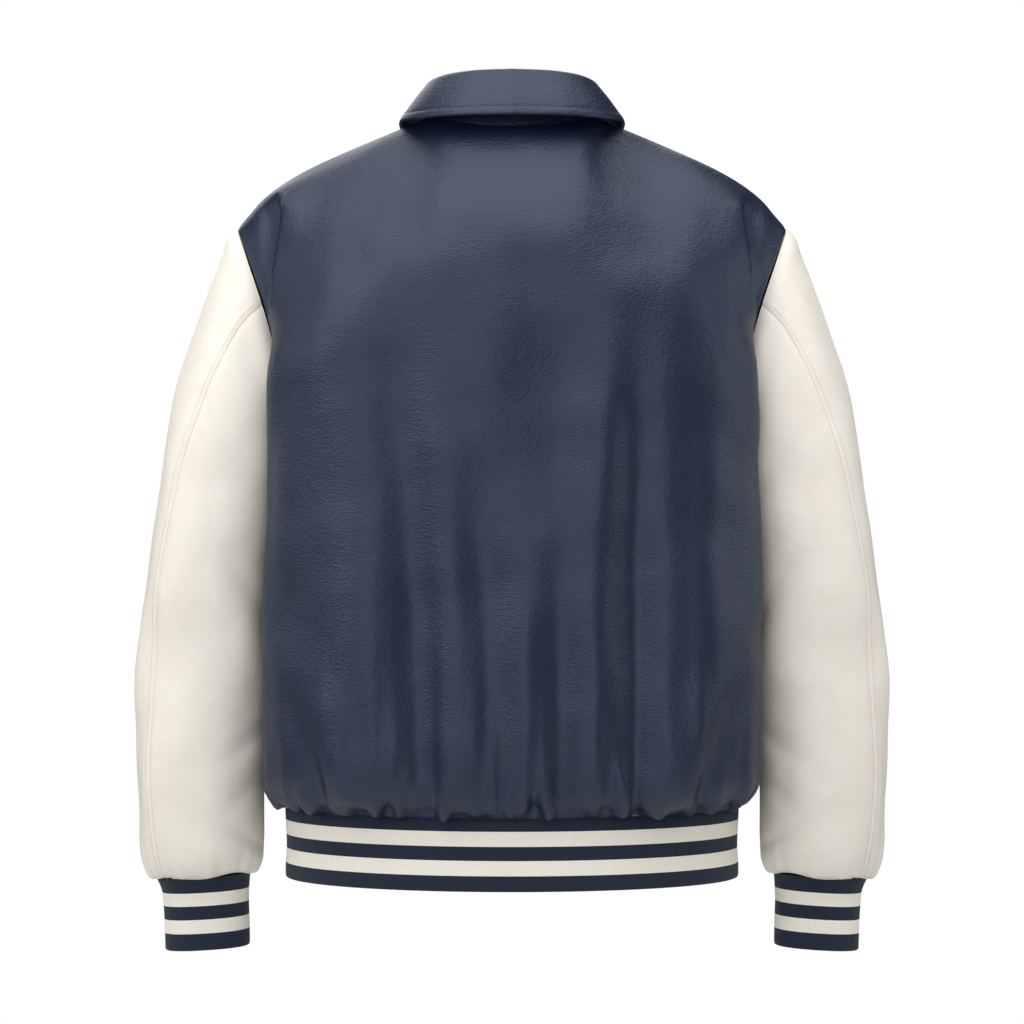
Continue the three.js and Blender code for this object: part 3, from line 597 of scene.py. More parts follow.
FRONT_FOLDS = table(
    FOLD_NAMES,
    [
        (0.096, -0.130, 0.074, -0.600, 0.006, 0.026, -0.0055),
        (0.136, -0.230, 0.118, -0.604, 0.000, 0.024, 0.0048),
        (0.166, -0.320, 0.160, -0.604, 0.004, 0.020, -0.0040),
        (0.048, -0.380, 0.044, -0.604, 0.000, 0.016, 0.0025),
        (-0.088, -0.150, -0.098, -0.604, -0.006, 0.026, -0.0055),
        (-0.140, -0.210, -0.130, -0.560, 0.000, 0.026, 0.0048),
        (-0.058, -0.350, -0.062, -0.604, 0.000, 0.018, 0.0030),
        (-0.186, -0.420, -0.170, -0.600, -0.006, 0.016, -0.0032),
    ],
)
FOLD_END = 0.45

# Pleats gathered at the hem: place along the cloth, half width, height above the seam, lean and how far out.
PLEAT_NAMES = "x width height lean out"
BACK_PLEATS = table(
    PLEAT_NAMES,
    [
        (0.160, 0.0060, 0.040, -0.10, 0.0022),
        (0.150, 0.0040, 0.026, -0.10, -0.0020),
        (0.116, 0.0060, 0.045, -0.20, 0.0026),
        (0.106, 0.0038, 0.030, -0.15, -0.0024),
        (0.098, 0.0052, 0.036, -0.10, 0.0026),
        (0.090, 0.0036, 0.024, 0.00, -0.0026),
        (0.083, 0.0046, 0.030, 0.05, 0.0020),
        (0.062, 0.0060, 0.024, 0.00, -0.0016),
        (0.048, 0.0070, 0.030, 0.00, 0.0014),
        (0.027, 0.0054, 0.036, 0.05, -0.0020),
        (0.017, 0.0048, 0.032, 0.00, 0.0018),
        (0.010, 0.0032, 0.024, 0.00, -0.0015),
        (0.003, 0.0036, 0.034, 0.02, 0.0019),
        (-0.004, 0.0030, 0.022, 0.00, -0.0015),
        (-0.010, 0.0036, 0.026, -0.02, 0.0016),
        (-0.018, 0.0044, 0.026, 0.00, -0.0018),
        (-0.028, 0.0064, 0.034, 0.04, 0.0022),
        (-0.042, 0.0060, 0.040, 0.05, -0.0018),
        (-0.056, 0.0060, 0.024, 0.00, 0.0014),
        (-0.074, 0.0050, 0.024, 0.00, -0.0014),
        (-0.088, 0.0054, 0.046, 0.08, -0.0026),
        (-0.097, 0.0050, 0.040, 0.05, 0.0026),
        (-0.106, 0.0040, 0.030, 0.05, -0.0024),
        (-0.114, 0.0060, 0.040, 0.10, 0.0022),
        (-0.136, 0.0060, 0.026, 0.10, -0.0016),
        (-0.160, 0.0050, 0.034, 0.20, 0.0020),
        (-0.170, 0.0042, 0.026, 0.20, -0.0020),
        (-0.190, 0.0056, 0.036, 0.25, 0.0022),
    ],
)
FRONT_PLEATS = table(
    PLEAT_NAMES,
    [
        (0.182, 0.0060, 0.034, -0.15, 0.0022),
        (0.170, 0.0040, 0.026, -0.10, -0.0020),
        (0.142, 0.0060, 0.030, -0.10, -0.0018),
        (0.128, 0.0056, 0.044, -0.10, 0.0026),
        (0.119, 0.0040, 0.030, -0.05, -0.0024),
        (0.110, 0.0048, 0.034, 0.00, 0.0022),
        (0.084, 0.0060, 0.040, 0.00, -0.0024),
        (0.074, 0.0050, 0.044, 0.00, 0.0026),
        (0.052, 0.0050, 0.026, 0.00, -0.0016),
        (0.038, 0.0060, 0.036, 0.02, 0.0018),
        (-0.044, 0.0054, 0.032, 0.00, 0.0020),
        (-0.056, 0.0042, 0.026, 0.00, -0.0020),
        (-0.078, 0.0060, 0.042, 0.05, 0.0026),
        (-0.088, 0.0042, 0.032, 0.05, -0.0026),
        (-0.098, 0.0052, 0.036, 0.05, 0.0022),
        (-0.126, 0.0060, 0.036, 0.10, -0.0020),
        (-0.138, 0.0060, 0.040, 0.10, 0.0022),
        (-0.164, 0.0052, 0.030, 0.15, -0.0020),
        (-0.178, 0.0060, 0.036, 0.20, 0.0024),
    ],
)
# The gathered hem's ripple between those pleats: wavelengths, heights and phases behind and in front.
RIPPLE_WAVES = (0.047, 0.031, 0.0215, 0.0146)
RIPPLE_HEIGHTS = (0.0010, 0.0009, 0.0007, 0.0004)
RIPPLE_PHASES = {1: (0.4, 2.1, 4.0, 1.2), -1: (1.9, 0.3, 5.1, 2.8)}
RIPPLE_FADE = 0.060
PLEAT_RELIEF = 2.0
PLEAT_REACH = 1.7
SCALLOP_DROP = 0.0016

# The crease where the blade of the shoulder turns in to the armhole: its line from top to low end, how far the
# armhole side sinks behind the panel, and how far the panel's own edge stands up.
CREASE = table(
    "z x",
    [(-0.185, 0.2125), (-0.160, 0.2100), (-0.132, 0.2068), (-0.105, 0.2040), (-0.085, 0.2028), (-0.070, 0.2060)],
)
CREASE_SINK, CREASE_STEP, CREASE_LIP, CREASE_LIP_WIDTH = 0.0060, 0.0030, 0.0028, 0.016
CREASE_FADE = 0.018
CREASE_RIDGE = (0.2240, 0.0060, 0.0022)  # place, half width and height of the soft ridge beyond it


def crease_field(x, z):
    """A step down over a short way past the line, a soft lip before it and a soft ridge beyond it."""
    past = np.abs(x) - np.interp(z, CREASE["z"], CREASE["x"])
    low, high = CREASE["z"][0], CREASE["z"][-1]
    fade = ease((z - low) / CREASE_FADE) * ease((high - z) / CREASE_FADE)
    place, width, height = CREASE_RIDGE
    step = -CREASE_SINK * ease(past / CREASE_STEP + 0.5) * bell(np.maximum(past, 0) / 0.030)
    lip = CREASE_LIP * bell(past / CREASE_LIP_WIDTH) * (1 - ease(past / CREASE_STEP + 0.5))
    return (step + lip + height * bell((np.abs(x) - place) / width)) * fade


# Long slow swells of soft leather: seeded waves of 40 to 160 mm in random directions.
SWELL_COUNT = 24
SWELL_HEIGHT = 0.00035


def swells(across, up, seed):
    """Sum of seeded sine waves across a panel, each with its own direction, length and phase."""
    random = np.random.default_rng(seed)
    total = np.zeros(np.broadcast_shapes(across.shape, up.shape))
    for _ in range(SWELL_COUNT):
        length = random.uniform(0.040, 0.160)
        heading = random.normal(0, 0.7)
        phase = random.uniform(0, 2 * np.pi)
        wave = across * np.cos(heading) + up * np.sin(heading)
        total = total + np.sin(2 * np.pi * wave / length + phase) * length / 0.1
    return total * SWELL_HEIGHT


def fold_field(across, z, folds):
    """Soft folds: a bell across each line, faded at both its ends."""
    total = np.zeros(np.broadcast_shapes(across.shape, z.shape))
    for top_x, top_z, low_x, low_z, bow, width, out in zip(*folds.values()):
        share = (top_z - z) / (top_z - low_z)
        centre = lerp(top_x, low_x, share) + bow * 4 * share * (1 - share)
        fade = ease(share / FOLD_END) * ease((1 - share) / 0.12)
        total += out * bell((across - centre) / width) * fade
    return total


def pleat_field(across, height, pleats):
    """Gathered pleats: narrow bells that start at the seam, lean, widen upwards and die out at their own height."""
    total = np.zeros(np.broadcast_shapes(across.shape, height.shape))
    for x, width, reach, lean, out in zip(*pleats.values()):
        reach = reach * PLEAT_REACH
        spread = width * (1 + 0.7 * np.clip(height / reach, 0, 2))
        start, climb = (0.35, 0.030) if out < 0 else (0.0, 0.050)
        rise = bell(height / reach) * lerp(start, 1, ease(height / climb))
        total += out * bell((across - x - lean * height) / spread) * rise
    return total


def ripple_field(across, height, face):
    waves = zip(RIPPLE_WAVES, RIPPLE_HEIGHTS, RIPPLE_PHASES[face])
    total = sum(size * np.sin(2 * np.pi * across / wave + phase) for wave, size, phase in waves)
    return total * np.exp(-height / RIPPLE_FADE)


def seam_dip(distance, depth=0.0011, width=0.0035):
    """Leather turned in at a seam: the edge sinks by depth over width."""
    return -depth * bell(distance / width)


def stitch_groove(distance, line, depth=0.0003, width=0.0010):
    """The shallow groove that a row of topstitching pulls into leather, at its own distance from an edge."""
    return -depth * bell((distance - line) / width)


# ---- Stitching ----
STITCH_PITCH = 0.0032
STITCH_LENGTH = 0.0024
STITCH_RADIUS = 0.00038


def line_at(points, distance, wanted):
    """The line across a grid at a set distance from its first column: where each row's distance reaches it."""
    k = np.clip((distance < wanted).sum(axis=1), 1, points.shape[1] - 1)
    row = np.arange(len(points))
    near, far = distance[row, k - 1], distance[row, k]
    t = ((wanted - near) / (far - near))[:, None]
    return lerp(points[row, k - 1], points[row, k], t)


def resample(line, values, pitch):
    """Points every pitch along a line, with values carried along and the line's direction."""
    run = running(line[:, None], 0)[:, 0]
    places = np.arange(pitch, run[-1] - pitch / 2, pitch)
    pick = [np.stack([np.interp(places, run, column[:, i]) for i in range(3)], -1) for column in (line, values)]
    ahead = np.stack([np.interp(places + pitch / 4, run, line[:, i]) for i in range(3)], -1)
    heading = ahead - pick[0]
    return pick[0], pick[1], heading / np.linalg.norm(heading, axis=-1, keepdims=True)


def stitches(name, lines, material, pitch=STITCH_PITCH):
    """Rows of stitches: a small spindle at each place, half sunk, its ends dipping into their holes."""
    turns = np.radians(np.arange(6) * 60)
    steps = np.array([-0.5, -0.3, 0.0, 0.3, 0.5])
    girth = np.array([0.35, 0.85, 1.0, 0.85, 0.35])
    along = (steps[:, None] * STITCH_LENGTH * np.ones(6)).ravel()
    side = (girth[:, None] * np.cos(turns) * STITCH_RADIUS).ravel()
    lift = (girth[:, None] * np.sin(turns) * STITCH_RADIUS).ravel()
    lift += np.repeat(STITCH_RADIUS * (0.6 - 5.0 * steps**2), 6)
    spots = [resample(line, normal, pitch) for line, normal in lines]
    place, normal, heading = (np.concatenate(parts) for parts in zip(*spots))
    normal = normal / np.linalg.norm(normal, axis=-1, keepdims=True)
    cross = np.cross(normal, heading)
    points = place[:, None] + along[:, None] * heading[:, None] + side[:, None] * cross[:, None]
    points = points + lift[:, None] * normal[:, None]
    index, face = quads(5, 6, True)
    caps = np.array([[5, 4, 1, 0], [4, 3, 2, 1], [24, 25, 28, 29], [25, 26, 27, 28]])
    one = np.concatenate([face[:, ::-1], caps[:, ::-1]])
    faces = (one[None] + 30 * np.arange(len(place))[:, None, None]).reshape(-1, 4)
    return mesh_object(name, points.reshape(-1, 3), faces, [material])


# ---- Pieces ----
def finish(piece, node_name, slot, **cloth):
    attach(piece, "root")
    if node_name:
        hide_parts(node_name)
    return piece


SIDE_SHARES = np.concatenate(
    [
        np.linspace(0, 0.5, 37)[:-1],
        np.linspace(0.5, NECK_START, 45)[:-1],
        np.linspace(NECK_START, 1, 35),
    ]
)
LOW_BAND = 0.070 / (TIP_Z - HEM_SEAM)
LEVELS = np.concatenate([np.linspace(0, LOW_BAND, 47)[:-1], np.linspace(LOW_BAND, 1, 119)])
PLACKET_LINE = 0.006  # topstitching in from the front edge
SEAM_EASE = 0.030  # folds fade within this distance of a seam


def half_panel(face):
    s, v = np.meshgrid(SIDE_SHARES, LEVELS)
    return torso(s, v, face)


def level_seams(normals, columns, at_side):
    """Side and shoulder edges end square to the line that two pieces share."""
    low = LEVELS <= UNDERARM_LEVEL
    for column in at_side:
        normals[low, column, 1] = 0
    normals[-1, columns, 1] = 0
    return normals / np.linalg.norm(normals, axis=-1, keepdims=True)


def body_wall(name, base, normals, out, edge_round=None):
    full = 1 if edge_round is None else edge_round
    outer = base + normals * (out - (1 - full) * LEATHER / 2)[..., None]
    inner = base + normals * (out - LEATHER + (1 - full) * LEATHER / 2)[..., None]
    return shell(name, outer, inner, [navy_leather, lining]), outer


def back_panel():
    """The back in one piece: two mirrored half panels, with folds, gathers and seams worked in."""
    left = half_panel(1)
    right = mirrored(left)
    base = settled(np.concatenate([left, right[:, 1:]], axis=1))
    normals = grid_normals(base)
    columns = len(SIDE_SHARES)
    shoulder = np.concatenate([SIDE_SHARES, SIDE_SHARES[-2::-1]]) <= NECK_START
    normals = level_seams(normals, shoulder, (0, -1))
    far = edges(base)
    across = far["first"][:, columns - 1 : columns] - far["first"]
    height, z = far["low"], base[..., 2]
    near_seam = ease(np.minimum(far["first"], far["last"]) / SEAM_EASE) * ease(far["high"] / SEAM_EASE)
    out = (fold_field(across, z, BACK_FOLDS) + swells(across, z, 3)) * near_seam * ease(height / 0.012)
    out += PLEAT_RELIEF * (pleat_field(across, height, BACK_PLEATS) + ripple_field(across, height, 1))
    out *= ease((height + 0.004) / 0.012)
    out += crease_field(base[..., 0], z) * ease(np.minimum(far["first"], far["last"]) / 0.008)
    out += seam_dip(far["first"]) + seam_dip(far["last"])
    out += seam_dip(far["high"])
    base = drop_scallops(base, across, height, 1)
    piece, outer = body_wall("back_leather", base, normals, out)
    finish(piece, "back", "navy_leather", flat=(0.62, 0.68), held="hung", area=0.36)
    return outer, normals


def drop_scallops(base, across, height, face):
    """The blousing edge hangs in shallow scallops: its lowest stretch drops and lifts along the hem."""
    phase = RIPPLE_PHASES[face][1]
    wave = np.sin(2 * np.pi * across / RIPPLE_WAVES[1] + phase) + 0.6 * np.sin(2 * np.pi * across / 0.0185)
    moved = base.copy()
    moved[..., 2] -= SCALLOP_DROP * wave * ease(height / 0.008) * bell((height - 0.012) / 0.014)
    return moved


def front_panel(side):
    """A front: a half panel that runs on past the centre line. The right one steps in under the left."""
    half = half_panel(-1)[:, ::-1]
    centre, near = half[:, :1], half[:, 1:2]
    past = np.linspace(OVERLAP, 0, 9)[None, :-1]
    reach = (past / near[..., 0]) ** 2
    beyond = lerp(centre, near, reach[..., None])
    beyond[..., 0] = -past
    base = settled(np.concatenate([beyond, half], axis=1))
    shares = np.concatenate([np.ones(8), SIDE_SHARES[::-1]])
    if side < 0:
        base, shares = mirrored(base), shares[::-1]
    normals = grid_normals(base)
    normals = level_seams(normals, shares <= NECK_START, (-1 if side > 0 else 0,))
    far = edges(base)
    free, seam = ("first", "last") if side > 0 else ("last", "first")
    across = side * (far[free] - OVERLAP)
    height, z = far["low"], base[..., 2]
    near_seam = ease(far[seam] / SEAM_EASE) * ease(far["high"] / SEAM_EASE) * ease((far[free] - 0.018) / 0.020)
    out = (fold_field(across, z, FRONT_FOLDS) + swells(across, z, 11)) * near_seam * ease(height / 0.012)
    gathers = PLEAT_RELIEF * (pleat_field(across, height, FRONT_PLEATS) + ripple_field(across, height, -1))
    out += gathers * ease((far[free] - 0.028) / 0.012)
    out *= ease((height + 0.004) / 0.012)
    out += 0.7 * crease_field(base[..., 0], z) * ease(far[seam] / 0.008)
    out += seam_dip(far[seam]) + seam_dip(far["high"]) + stitch_groove(far[free], PLACKET_LINE)
    if side < 0:
        out -= UNDERLAP_STEP * ease((UNDERLAP_FROM + base[..., 0]) / (UNDERLAP_FROM - UNDERLAP_TO))
    name = "left" if side > 0 else "right"
    base = drop_scallops(base, across, height, -1)
    piece, outer = body_wall(f"front_leather_{name}", base, normals, out, rounded_edge(far[free], LEATHER / 2))
    finish(piece, f"front_{name}", "navy_leather", flat=(0.33, 0.68), held="hung", area=0.19)
    if side > 0:
        line = line_at(outer, far["first"], PLACKET_LINE)
        normal = line_at(normals, far["first"], PLACKET_LINE)
        thread = stitches("placket_stitches", [(line[4:], normal[4:])], navy_thread)
        finish(thread, None, "navy_leather")
    return outer, normals


# ---- Sleeves ----
SLEEVE_FOLD_NAMES = "deg at turn length width out"
# Creases inside the elbow and above the cuff: middle angle and ring, how steeply each climbs towards the back, its
# half length round the arm in degrees, its half width along the arm in rings, and how far out.
SLEEVE_FOLDS = table(
    SLEEVE_FOLD_NAMES,
    [
        (150, 6.5, 0.020, 34, 0.30, -0.0022),
        (140, 7.1, 0.022, 40, 0.45, 0.0018),
        (152, 8.6, -0.012, 26, 0.20, -0.0028),
        (140, 9.0, -0.012, 34, 0.40, 0.0018),
        (154, 9.4, -0.014, 24, 0.20, -0.0024),
        (130, 9.9, 0.010, 36, 0.40, 0.0015),
        (154, 10.6, 0.012, 24, 0.20, -0.0024),
        (142, 11.0, 0.010, 30, 0.30, 0.0014),
        (215, 7.4, 0.014, 36, 0.45, -0.0030),
        (225, 8.6, -0.012, 34, 0.40, -0.0032),
        (250, 9.4, 0.012, 40, 0.45, 0.0024),
        (236, 10.3, -0.010, 34, 0.32, -0.0030),
        (300, 9.0, 0.008, 46, 0.60, -0.0020),
        (200, 4.6, 0.012, 44, 0.50, -0.0028),
        (110, 4.2, -0.012, 40, 0.70, -0.0018),
    ],
)
CUFF_GATHERS = 17
CUFF_GATHER_HEIGHT = 0.0014
ELBOW_STITCH = 0.005


def sleeve_field(deg, at):
    """Creases: bells that run round the arm on a slant and fade along their own length."""
    total = np.zeros(np.broadcast_shapes(deg.shape, at.shape))
    for middle, ring_at, turn, length, width, out in zip(*SLEEVE_FOLDS.values()):
        off = np.mod(deg - middle + 180, 360) - 180
        total += out * bell(off / length) * bell((at - ring_at - turn * off) / width)
    return total


def sleeve_panels():
    """Both sleeves: one ring grid, cut at the elbow and forearm seams into an outer and an under panel."""
    outer_count, under_count, rows = 96, 66, 170
    angles_outer = np.linspace(FOREARM_DEG - 360, ELBOW_DEG, outer_count)
    angles_under = np.linspace(ELBOW_DEG, FOREARM_DEG, under_count)
    places = np.concatenate([np.linspace(SLEEVE_LAST, 11, 46)[:-1], np.linspace(11, 0, rows - 45)])
    for part, angles in (("outer", angles_outer), ("under", angles_under)):
        deg, at = np.meshgrid(angles, places)
        base = sleeve(deg, at)
        step = 0.5
        normals = np.cross(
            sleeve(deg + step, at) - sleeve(deg - step, at),
            sleeve(deg, np.maximum(at - 0.02, 0)) - sleeve(deg, np.minimum(at + 0.02, SLEEVE_LAST)),
        )
        normals /= np.linalg.norm(normals, axis=-1, keepdims=True)
        far = edges(base)
        along = np.where(deg < 0, deg + 360, deg)
        out = sleeve_field(along, at) * ease(far["high"] / 0.04) * ease(far["low"] / 0.02)
        out += swells(deg * 0.0013, base[..., 2], 5)
        wave = np.sin(np.radians(CUFF_GATHERS * deg)) + 0.5 * np.sin(np.radians(CUFF_GATHERS * 1.7 * deg + 40))
        out += CUFF_GATHER_HEIGHT * wave * np.exp(-far["low"] / 0.016) * ease(far["low"] / 0.006)
        out += 0.0022 * bell((far["high"] - 0.012) / 0.010)
        out += seam_dip(far["first"], 0.0010, 0.003) + seam_dip(far["last"], 0.0010, 0.003)
        out += seam_dip(far["high"], 0.0012, 0.0035)
        seam = "last" if part == "outer" else "first"
        if part == "outer":
            out += stitch_groove(far[seam], ELBOW_STITCH) + 0.0005 * bell((far[seam] - 0.0026) / 0.0018)
        for edge, flip in (("first", 1), ("last", -1)):
            pull = bell(far[edge] / 0.0008)[..., None] * GAP / 2
            around = np.gradient(base, axis=1)
            base = base + flip * pull * around / np.linalg.norm(around, axis=-1, keepdims=True)
        lift = np.gradient(base, axis=0)
        lift /= np.linalg.norm(lift, axis=-1, keepdims=True)
        base = base - lift * (1.5 * GAP * bell(far["high"] / 0.0008))[..., None]
        outer = base + normals * out[..., None]
        inner = base + normals * (out - LEATHER)[..., None]
        for side, name in ((1, "left"), (-1, "right")):
            faces = (outer, inner) if side > 0 else (mirrored(outer), mirrored(inner))
            piece = shell(f"sleeve_{part}_leather_{name}", *faces, [cream_leather, lining])
            flat = (0.26, 0.60) if part == "outer" else (0.20, 0.50)
            area = 0.125 if part == "outer" else 0.08
            finish(piece, f"sleeve_{part}_{name}", "cream_leather", flat=flat, held="hung", area=area)
        if part == "outer":
            distance = far["last"][:, ::-1]
            line = line_at(outer[:, ::-1], distance, ELBOW_STITCH)
            normal = line_at(normals[:, ::-1], distance, ELBOW_STITCH)
            lines = [(line[3:-3], normal[3:-3]), (line[3:-3] * (-1, 1, 1), normal[3:-3] * (-1, 1, 1))]
            finish(stitches("elbow_seam_stitches", lines, cream_thread), None, "cream_leather")


# ---- Ribs ----
RIB_PITCH = 0.0026
RIB_HEIGHT = 0.0004


def rib_out(run, total):
    """Rounded ribs: the raised half of a wave, a whole number of them round the band."""
    count = round(total / RIB_PITCH)
    return RIB_HEIGHT * (np.abs(np.cos(np.pi * run / total * count)) - 0.6)


def rib_wall(name, base, normals, thickness, material, wraps, run, total, free_ends=None):
    """A folded band: ribs on both faces, the lower edge a half round fold. Its map is the distance round and up."""
    up = running(base, 0)
    full = rounded_edge(up, thickness / 2)
    if free_ends is not None:
        full = full * rounded_edge(free_ends, thickness / 2)
    ribs = rib_out(run, total) * ease(up / 0.004)
    outer = base + normals * (ribs - (1 - full) * thickness / 2)[..., None]
    inner = base + normals * (-thickness + (1 - full) * thickness / 2 - ribs * 0.6)[..., None]
    uv = stack(run + 0 * up, up)
    return shell(name, outer, inner, [material], wraps=wraps, uv=uv)


def hem_band():
    """The hem band: an oval strip that starts past the centre on the left front's layer and ends under itself."""
    past = math.degrees(math.asin(OVERLAP / HEM_HALF))
    columns = 1560
    heights = np.array([0, 0.0003, 0.0008, 0.0015, 0.003, 0.006, *np.linspace(0.010, 0.0615 + SEAM_TURN, 18)])
    level = table("up out", [(0, 0), (0.01, 0), (0.029, -0.001), (0.052, 0), (0.0615, 0.0002), (0.0635, -0.0012)])
    deg, up = np.meshgrid(np.linspace(-90 - past, 270 + past, columns), heights)
    tucked = (UNDERLAP_STEP + 0.0002) * ease((deg - 249) / 8)
    grow = curve(level, "out", up, "up") - tucked
    turn = np.radians(deg)
    base = stack((HEM_HALF + grow) * np.cos(turn), (HEM_DEPTH + grow) * np.sin(turn), HEM_EDGE + up)
    normals = grid_normals(base)
    run = running(base[10:11], 1)
    ends = np.minimum(run, run[:, -1:] - run)
    piece = rib_wall("hem_rib", base, normals, RIB, hem_rib, False, run, run[0, -1], ends + 0 * up)
    finish(piece, "hem_band", "striped_rib", flat=(1.05, 0.063), held="stretched")


def cuffs():
    """Cuffs: rings of the table, flared at the top where the sleeve is gathered on."""
    columns = 330
    up = np.array([0, 0.0003, 0.0008, 0.0015, 0.003, 0.006, *np.linspace(0.010, 0.058, 22)]) / 0.058
    at = CUFF_LAST * up
    deg, at = np.meshgrid(np.arange(columns) * 360 / columns, at)
    base = ring(CUFF, at, deg)
    normals = grid_normals(base, wraps=True)
    closed = np.concatenate([base, base[:, :1]], axis=1)
    run = running(closed, 1)
    total = run[12, -1]
    run = run[12:13, :-1]
    for side, name in ((1, "left"), (-1, "right")):
        grid = (base, normals) if side > 0 else (mirrored(base), mirrored(normals))
        piece = rib_wall(f"cuff_rib_{name}", *grid, RIB, cuff_rib, True, run, total)
        finish(piece, f"cuff_{name}", "striped_rib", flat=(0.22, 0.0705), held="stretched")


# ---- Collar ----
LEAF_BOW = 0.0012
COLLAR_STITCH = 0.0085


def collar_sections(deg):
    """Neckline, roll, leaf edge and the way across the roll at angles from centre back, left positive."""
    turn, side = np.abs(deg), np.where(deg < 0, -1.0, 1.0)
    behind = turn <= 90
    share = np.where(behind, lerp(1, NECK_START, turn / 90), lerp(NECK_START, 1, (turn - 90) / 90))
    neck = np.where(behind[:, None], stack(*top_edge(share, 1)), stack(*top_edge(share, -1)) * (1, -1, 1))
    read = lambda key, at: curve(COLLAR_LINE, key, at, "deg")
    fold = stack(read("fold_x", turn), read("fold_y", turn), read("fold_z", turn))
    edge = stack(read("edge_x", turn), read("edge_y", turn), read("edge_z", turn))
    before, after = np.maximum(turn - 4, 0), np.minimum(turn + 4, COLLAR_END)
    out = stack(
        read("fold_y", before) - read("fold_y", after), read("fold_x", after) - read("fold_x", before), 0 * turn
    )
    out /= np.linalg.norm(out, axis=-1, keepdims=True)
    out[:, 0] *= ease(turn / 6) * ease((COLLAR_END - turn) / 6)
    neck[:, 0] = np.maximum(neck[:, 0], np.where(behind, 0, COLLAR_LINE["fold_x"][-1]))
    for part in (neck, fold, edge, out):
        part[:, 0] *= side
    return neck, fold, edge, out


def collar():
    """Stand and leaf: sections at angles round the neck. The leaf rises from the stand, turns over the roll in a half
    circle and runs down, a little bowed, to a thick turned edge with a row of topstitching."""
    deg = np.linspace(-COLLAR_END, COLLAR_END, 281)
    neck, fold, edge, out = collar_sections(deg)
    up = np.array([0, 0, 1.0])

    t = np.linspace(0, 1, 14)[:, None, None]
    bottom = neck[::-1] - up * SEAM_TURN
    top = fold[::-1] + out[::-1] * (-ROLL + COLLAR / 2) - up * (STAND_STOP + 2 * GAP)
    stand = lerp(bottom[None], top[None], t)
    normals = grid_normals(stand)
    piece = shell("collar_stand_leather", stand, stand - normals * COLLAR, [navy_leather])
    finish(piece, "collar_stand", "navy_leather", flat=(0.42, 0.045), held="folded", area=0.0135)

    rise = [(-ROLL, high) for high in np.linspace(-STAND_STOP, -ROLL, 4)[:-1]]
    turns = np.radians(np.linspace(180, 30, 18))
    arc = [(r * math.cos(a), r * math.sin(a) - r) for a in turns for r in [ROLL if math.cos(a) < 0 else ROLL_OUT]]
    middle = [fold + out * wide + up * high for wide, high in rise + arc]
    start = middle[-1]
    shares = np.concatenate([np.linspace(0, 0.9, 34)[1:], np.linspace(0.9, 1, 12)[1:]])
    leaf = [lerp(start, edge, share) + out * 4 * LEAF_BOW * share * (1 - share) for share in shares]
    base = np.stack(middle + leaf)
    normals = grid_normals(base)
    far = edges(base)
    free = np.minimum(far["high"], np.minimum(far["first"], far["last"]))
    puff = 0.0006 * bell((far["high"] - 0.004) / 0.003)
    thick = (COLLAR + 2 * puff) * rounded_edge(far["high"], COLLAR / 2)
    groove = stitch_groove(free, COLLAR_STITCH, 0.0004, 0.0011) * ease((far["low"] - 0.024) / 0.006)
    outer = base + normals * (thick / 2 + groove)[..., None]
    inner = base - normals * (thick / 2)[..., None]
    piece = shell("collar_leaf_leather", outer, inner, [navy_leather])
    finish(piece, "collar_leaf", "navy_leather", flat=(0.56, 0.085), held="folded", area=0.037)

    flipped = outer[::-1].transpose(1, 0, 2)
    distance = far["high"][::-1].T
    line = line_at(flipped, distance, COLLAR_STITCH)
    normal = line_at(normals[::-1].transpose(1, 0, 2), distance, COLLAR_STITCH)
    inset = slice(8, -8)
    finish(stitches("collar_stitches", [(line[inset], normal[inset])], navy_thread), None, "navy_leather")


# ---- Snaps ----
SNAP_COUNT = 6
SNAP_PROFILE = [
    (0.0002, 0.0000),
    (0.0066, 0.0000),
    (0.0073, 0.0003),
    (0.0075, 0.0008),
    (0.0074, 0.0013),
    (0.0069, 0.0016),
    (0.0063, 0.0015),
    (0.0059, 0.0017),
    (0.0052, 0.0023),
    (0.0040, 0.0028),
    (0.0022, 0.0031),
    (0.0002, 0.0032),
]


def snap_caps():
    """Snap caps: a profile turned round, with a rolled rim and a low dome, standing where the frame's caps do."""
    radius, rise = np.array(SNAP_PROFILE).T
    turn = np.radians(np.arange(40) * 9)
    for number in range(1, SNAP_COUNT + 1):
        name = f"snap_{number}"
        source = next(o for o in bpy.data.objects if o.name == name)
        points = np.array([v.co[:] for v in source.data.vertices])
        middle = points.mean(axis=0)
        spread = np.linalg.svd(points - middle)[2][2]
        way = spread if spread[1] < 0 else -spread
        base = points[np.argmin(points @ way)] @ way
        seat = middle + way * (base - middle @ way)
        side = np.cross(way, (0, 0, 1))
        side /= np.linalg.norm(side)
        upward = np.cross(side, way)
        circle = side * np.cos(turn)[:, None] + upward * np.sin(turn)[:, None]
        grid = seat + circle[None] * radius[:, None, None] + way * rise[:, None, None]
        index, faces = quads(len(radius), len(turn), True)
        points = grid.reshape(-1, 3)
        ends = np.array([seat, seat + way * rise[-1]])
        base_fan = stack(index[0][1:], index[0][:-1], np.full(40, len(points)), np.full(40, len(points)))
        top_fan = stack(index[-1][:-1], index[-1][1:], np.full(40, len(points) + 1), np.full(40, len(points) + 1))
        triangles = np.concatenate([faces[:, [0, 1, 2]], faces[:, [0, 2, 3]], base_fan[:, :3], top_fan[:, :3]])
        piece = mesh_object(f"{name}_cap", np.concatenate([points, ends]), triangles, [snap_enamel])
        finish(piece, name, "snap_enamel")


back_panel()
front_panel(1)
front_panel(-1)
sleeve_panels()
hem_band()
cuffs()
collar()
snap_caps()


# ---- Floor, light and backdrop ----
FLOOR_HEIGHT = -1.45
FLOOR_RADIUS = 3.0
AMBIENT, AMBIENT_GLOSS = 0.36, 0.03


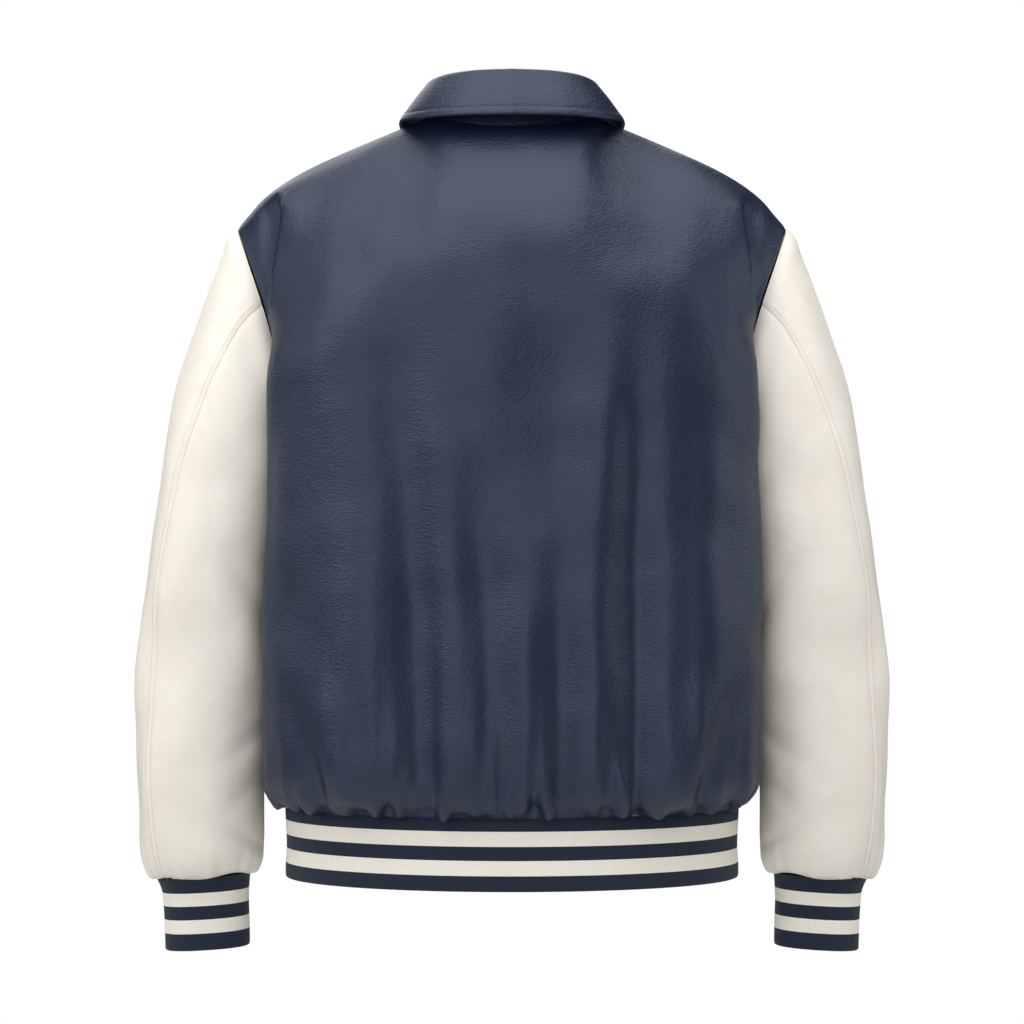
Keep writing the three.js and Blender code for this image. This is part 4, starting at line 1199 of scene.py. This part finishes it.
def floor():
    """A plain pale floor a wearer's height below the shoulders: a square grid of quads eased out to a disc."""
    across = np.linspace(-1, 1, 25)
    x, y = np.meshgrid(across, across)
    height = np.full(x.shape, FLOOR_HEIGHT)
    grid = stack(FLOOR_RADIUS * x * np.sqrt(1 - y**2 / 2), FLOOR_RADIUS * y * np.sqrt(1 - x**2 / 2), height)
    material, tree, shader = new_material("pale floor")
    shader.inputs["Base Color"].default_value = linear("#c8c8c6")
    shader.inputs["Roughness"].default_value = 0.9
    _, faces = quads(25, 25, False)
    mesh_object("floor", grid.reshape(-1, 3), faces, [material])


def area_light(name, place, aim, size, power, colour=(1, 1, 1)):
    data = bpy.data.lights.new(name, "AREA")
    data.shape, data.size, data.size_y = "RECTANGLE", size[0], size[1]
    data.energy, data.color = power, colour
    lamp = bpy.data.objects.new(name, data)
    lamp.location = place
    away = np.array(place, float) - np.array(aim, float)
    flat = math.hypot(away[0], away[1])
    lamp.rotation_euler = (math.atan2(flat, away[2]), 0, math.atan2(away[0], -away[1]))
    bpy.context.scene.collection.objects.link(lamp)


def backdrop():
    """White to the camera. To the jacket it is an even glow, kept low where it would mirror in the leather."""
    world = bpy.data.worlds.new("studio")
    bpy.context.scene.world = world
    world.use_nodes = True
    tree = world.node_tree
    tree.nodes.clear()
    path = node(tree, "ShaderNodeLightPath")
    white = node(tree, "ShaderNodeBackground", {"Color": (1, 1, 1, 1), "Strength": 1.0})
    glow = node(tree, "ShaderNodeBackground", {"Color": (1, 1, 1, 1), "Strength": AMBIENT})
    dim = node(tree, "ShaderNodeBackground", {"Color": (1, 1, 1, 1), "Strength": AMBIENT_GLOSS})
    lit = node(tree, "ShaderNodeMixShader", {0: path.outputs["Is Glossy Ray"], 1: glow.outputs[0], 2: dim.outputs[0]})
    seen = node(tree, "ShaderNodeMixShader", {0: path.outputs["Is Camera Ray"], 1: lit.outputs[0], 2: white.outputs[0]})
    node(tree, "ShaderNodeOutputWorld", {"Surface": seen.outputs[0]})


floor()
backdrop()
area_light("key_softbox", (2.0, 1.9, 0.5), (0, 0, -0.35), (1.2, 1.6), 15)
area_light("top_softbox", (0.2, 1.9, 1.7), (0, 0, -0.1), (3.4, 1.8), 32)
area_light("overhead_softbox", (0.0, 0.2, 2.1), (0, 0, -0.1), (3.8, 2.6), 50)
area_light("camera_softbox", (0.3, 3.4, -0.3), (0, 0, -0.4), (2.4, 2.0), 19)
area_light("left_softbox", (2.4, 0.3, 0.4), (0, 0, -0.35), (1.8, 1.8), 9)
area_light("right_softbox", (-2.5, 0.35, 0.2), (0, 0, -0.35), (1.9, 1.8), 13)
area_light("front_softbox", (0.4, -2.2, 1.0), (0, 0, -0.35), (2.0, 1.6), 24)
bpy.context.scene.view_settings.view_transform = "Standard"
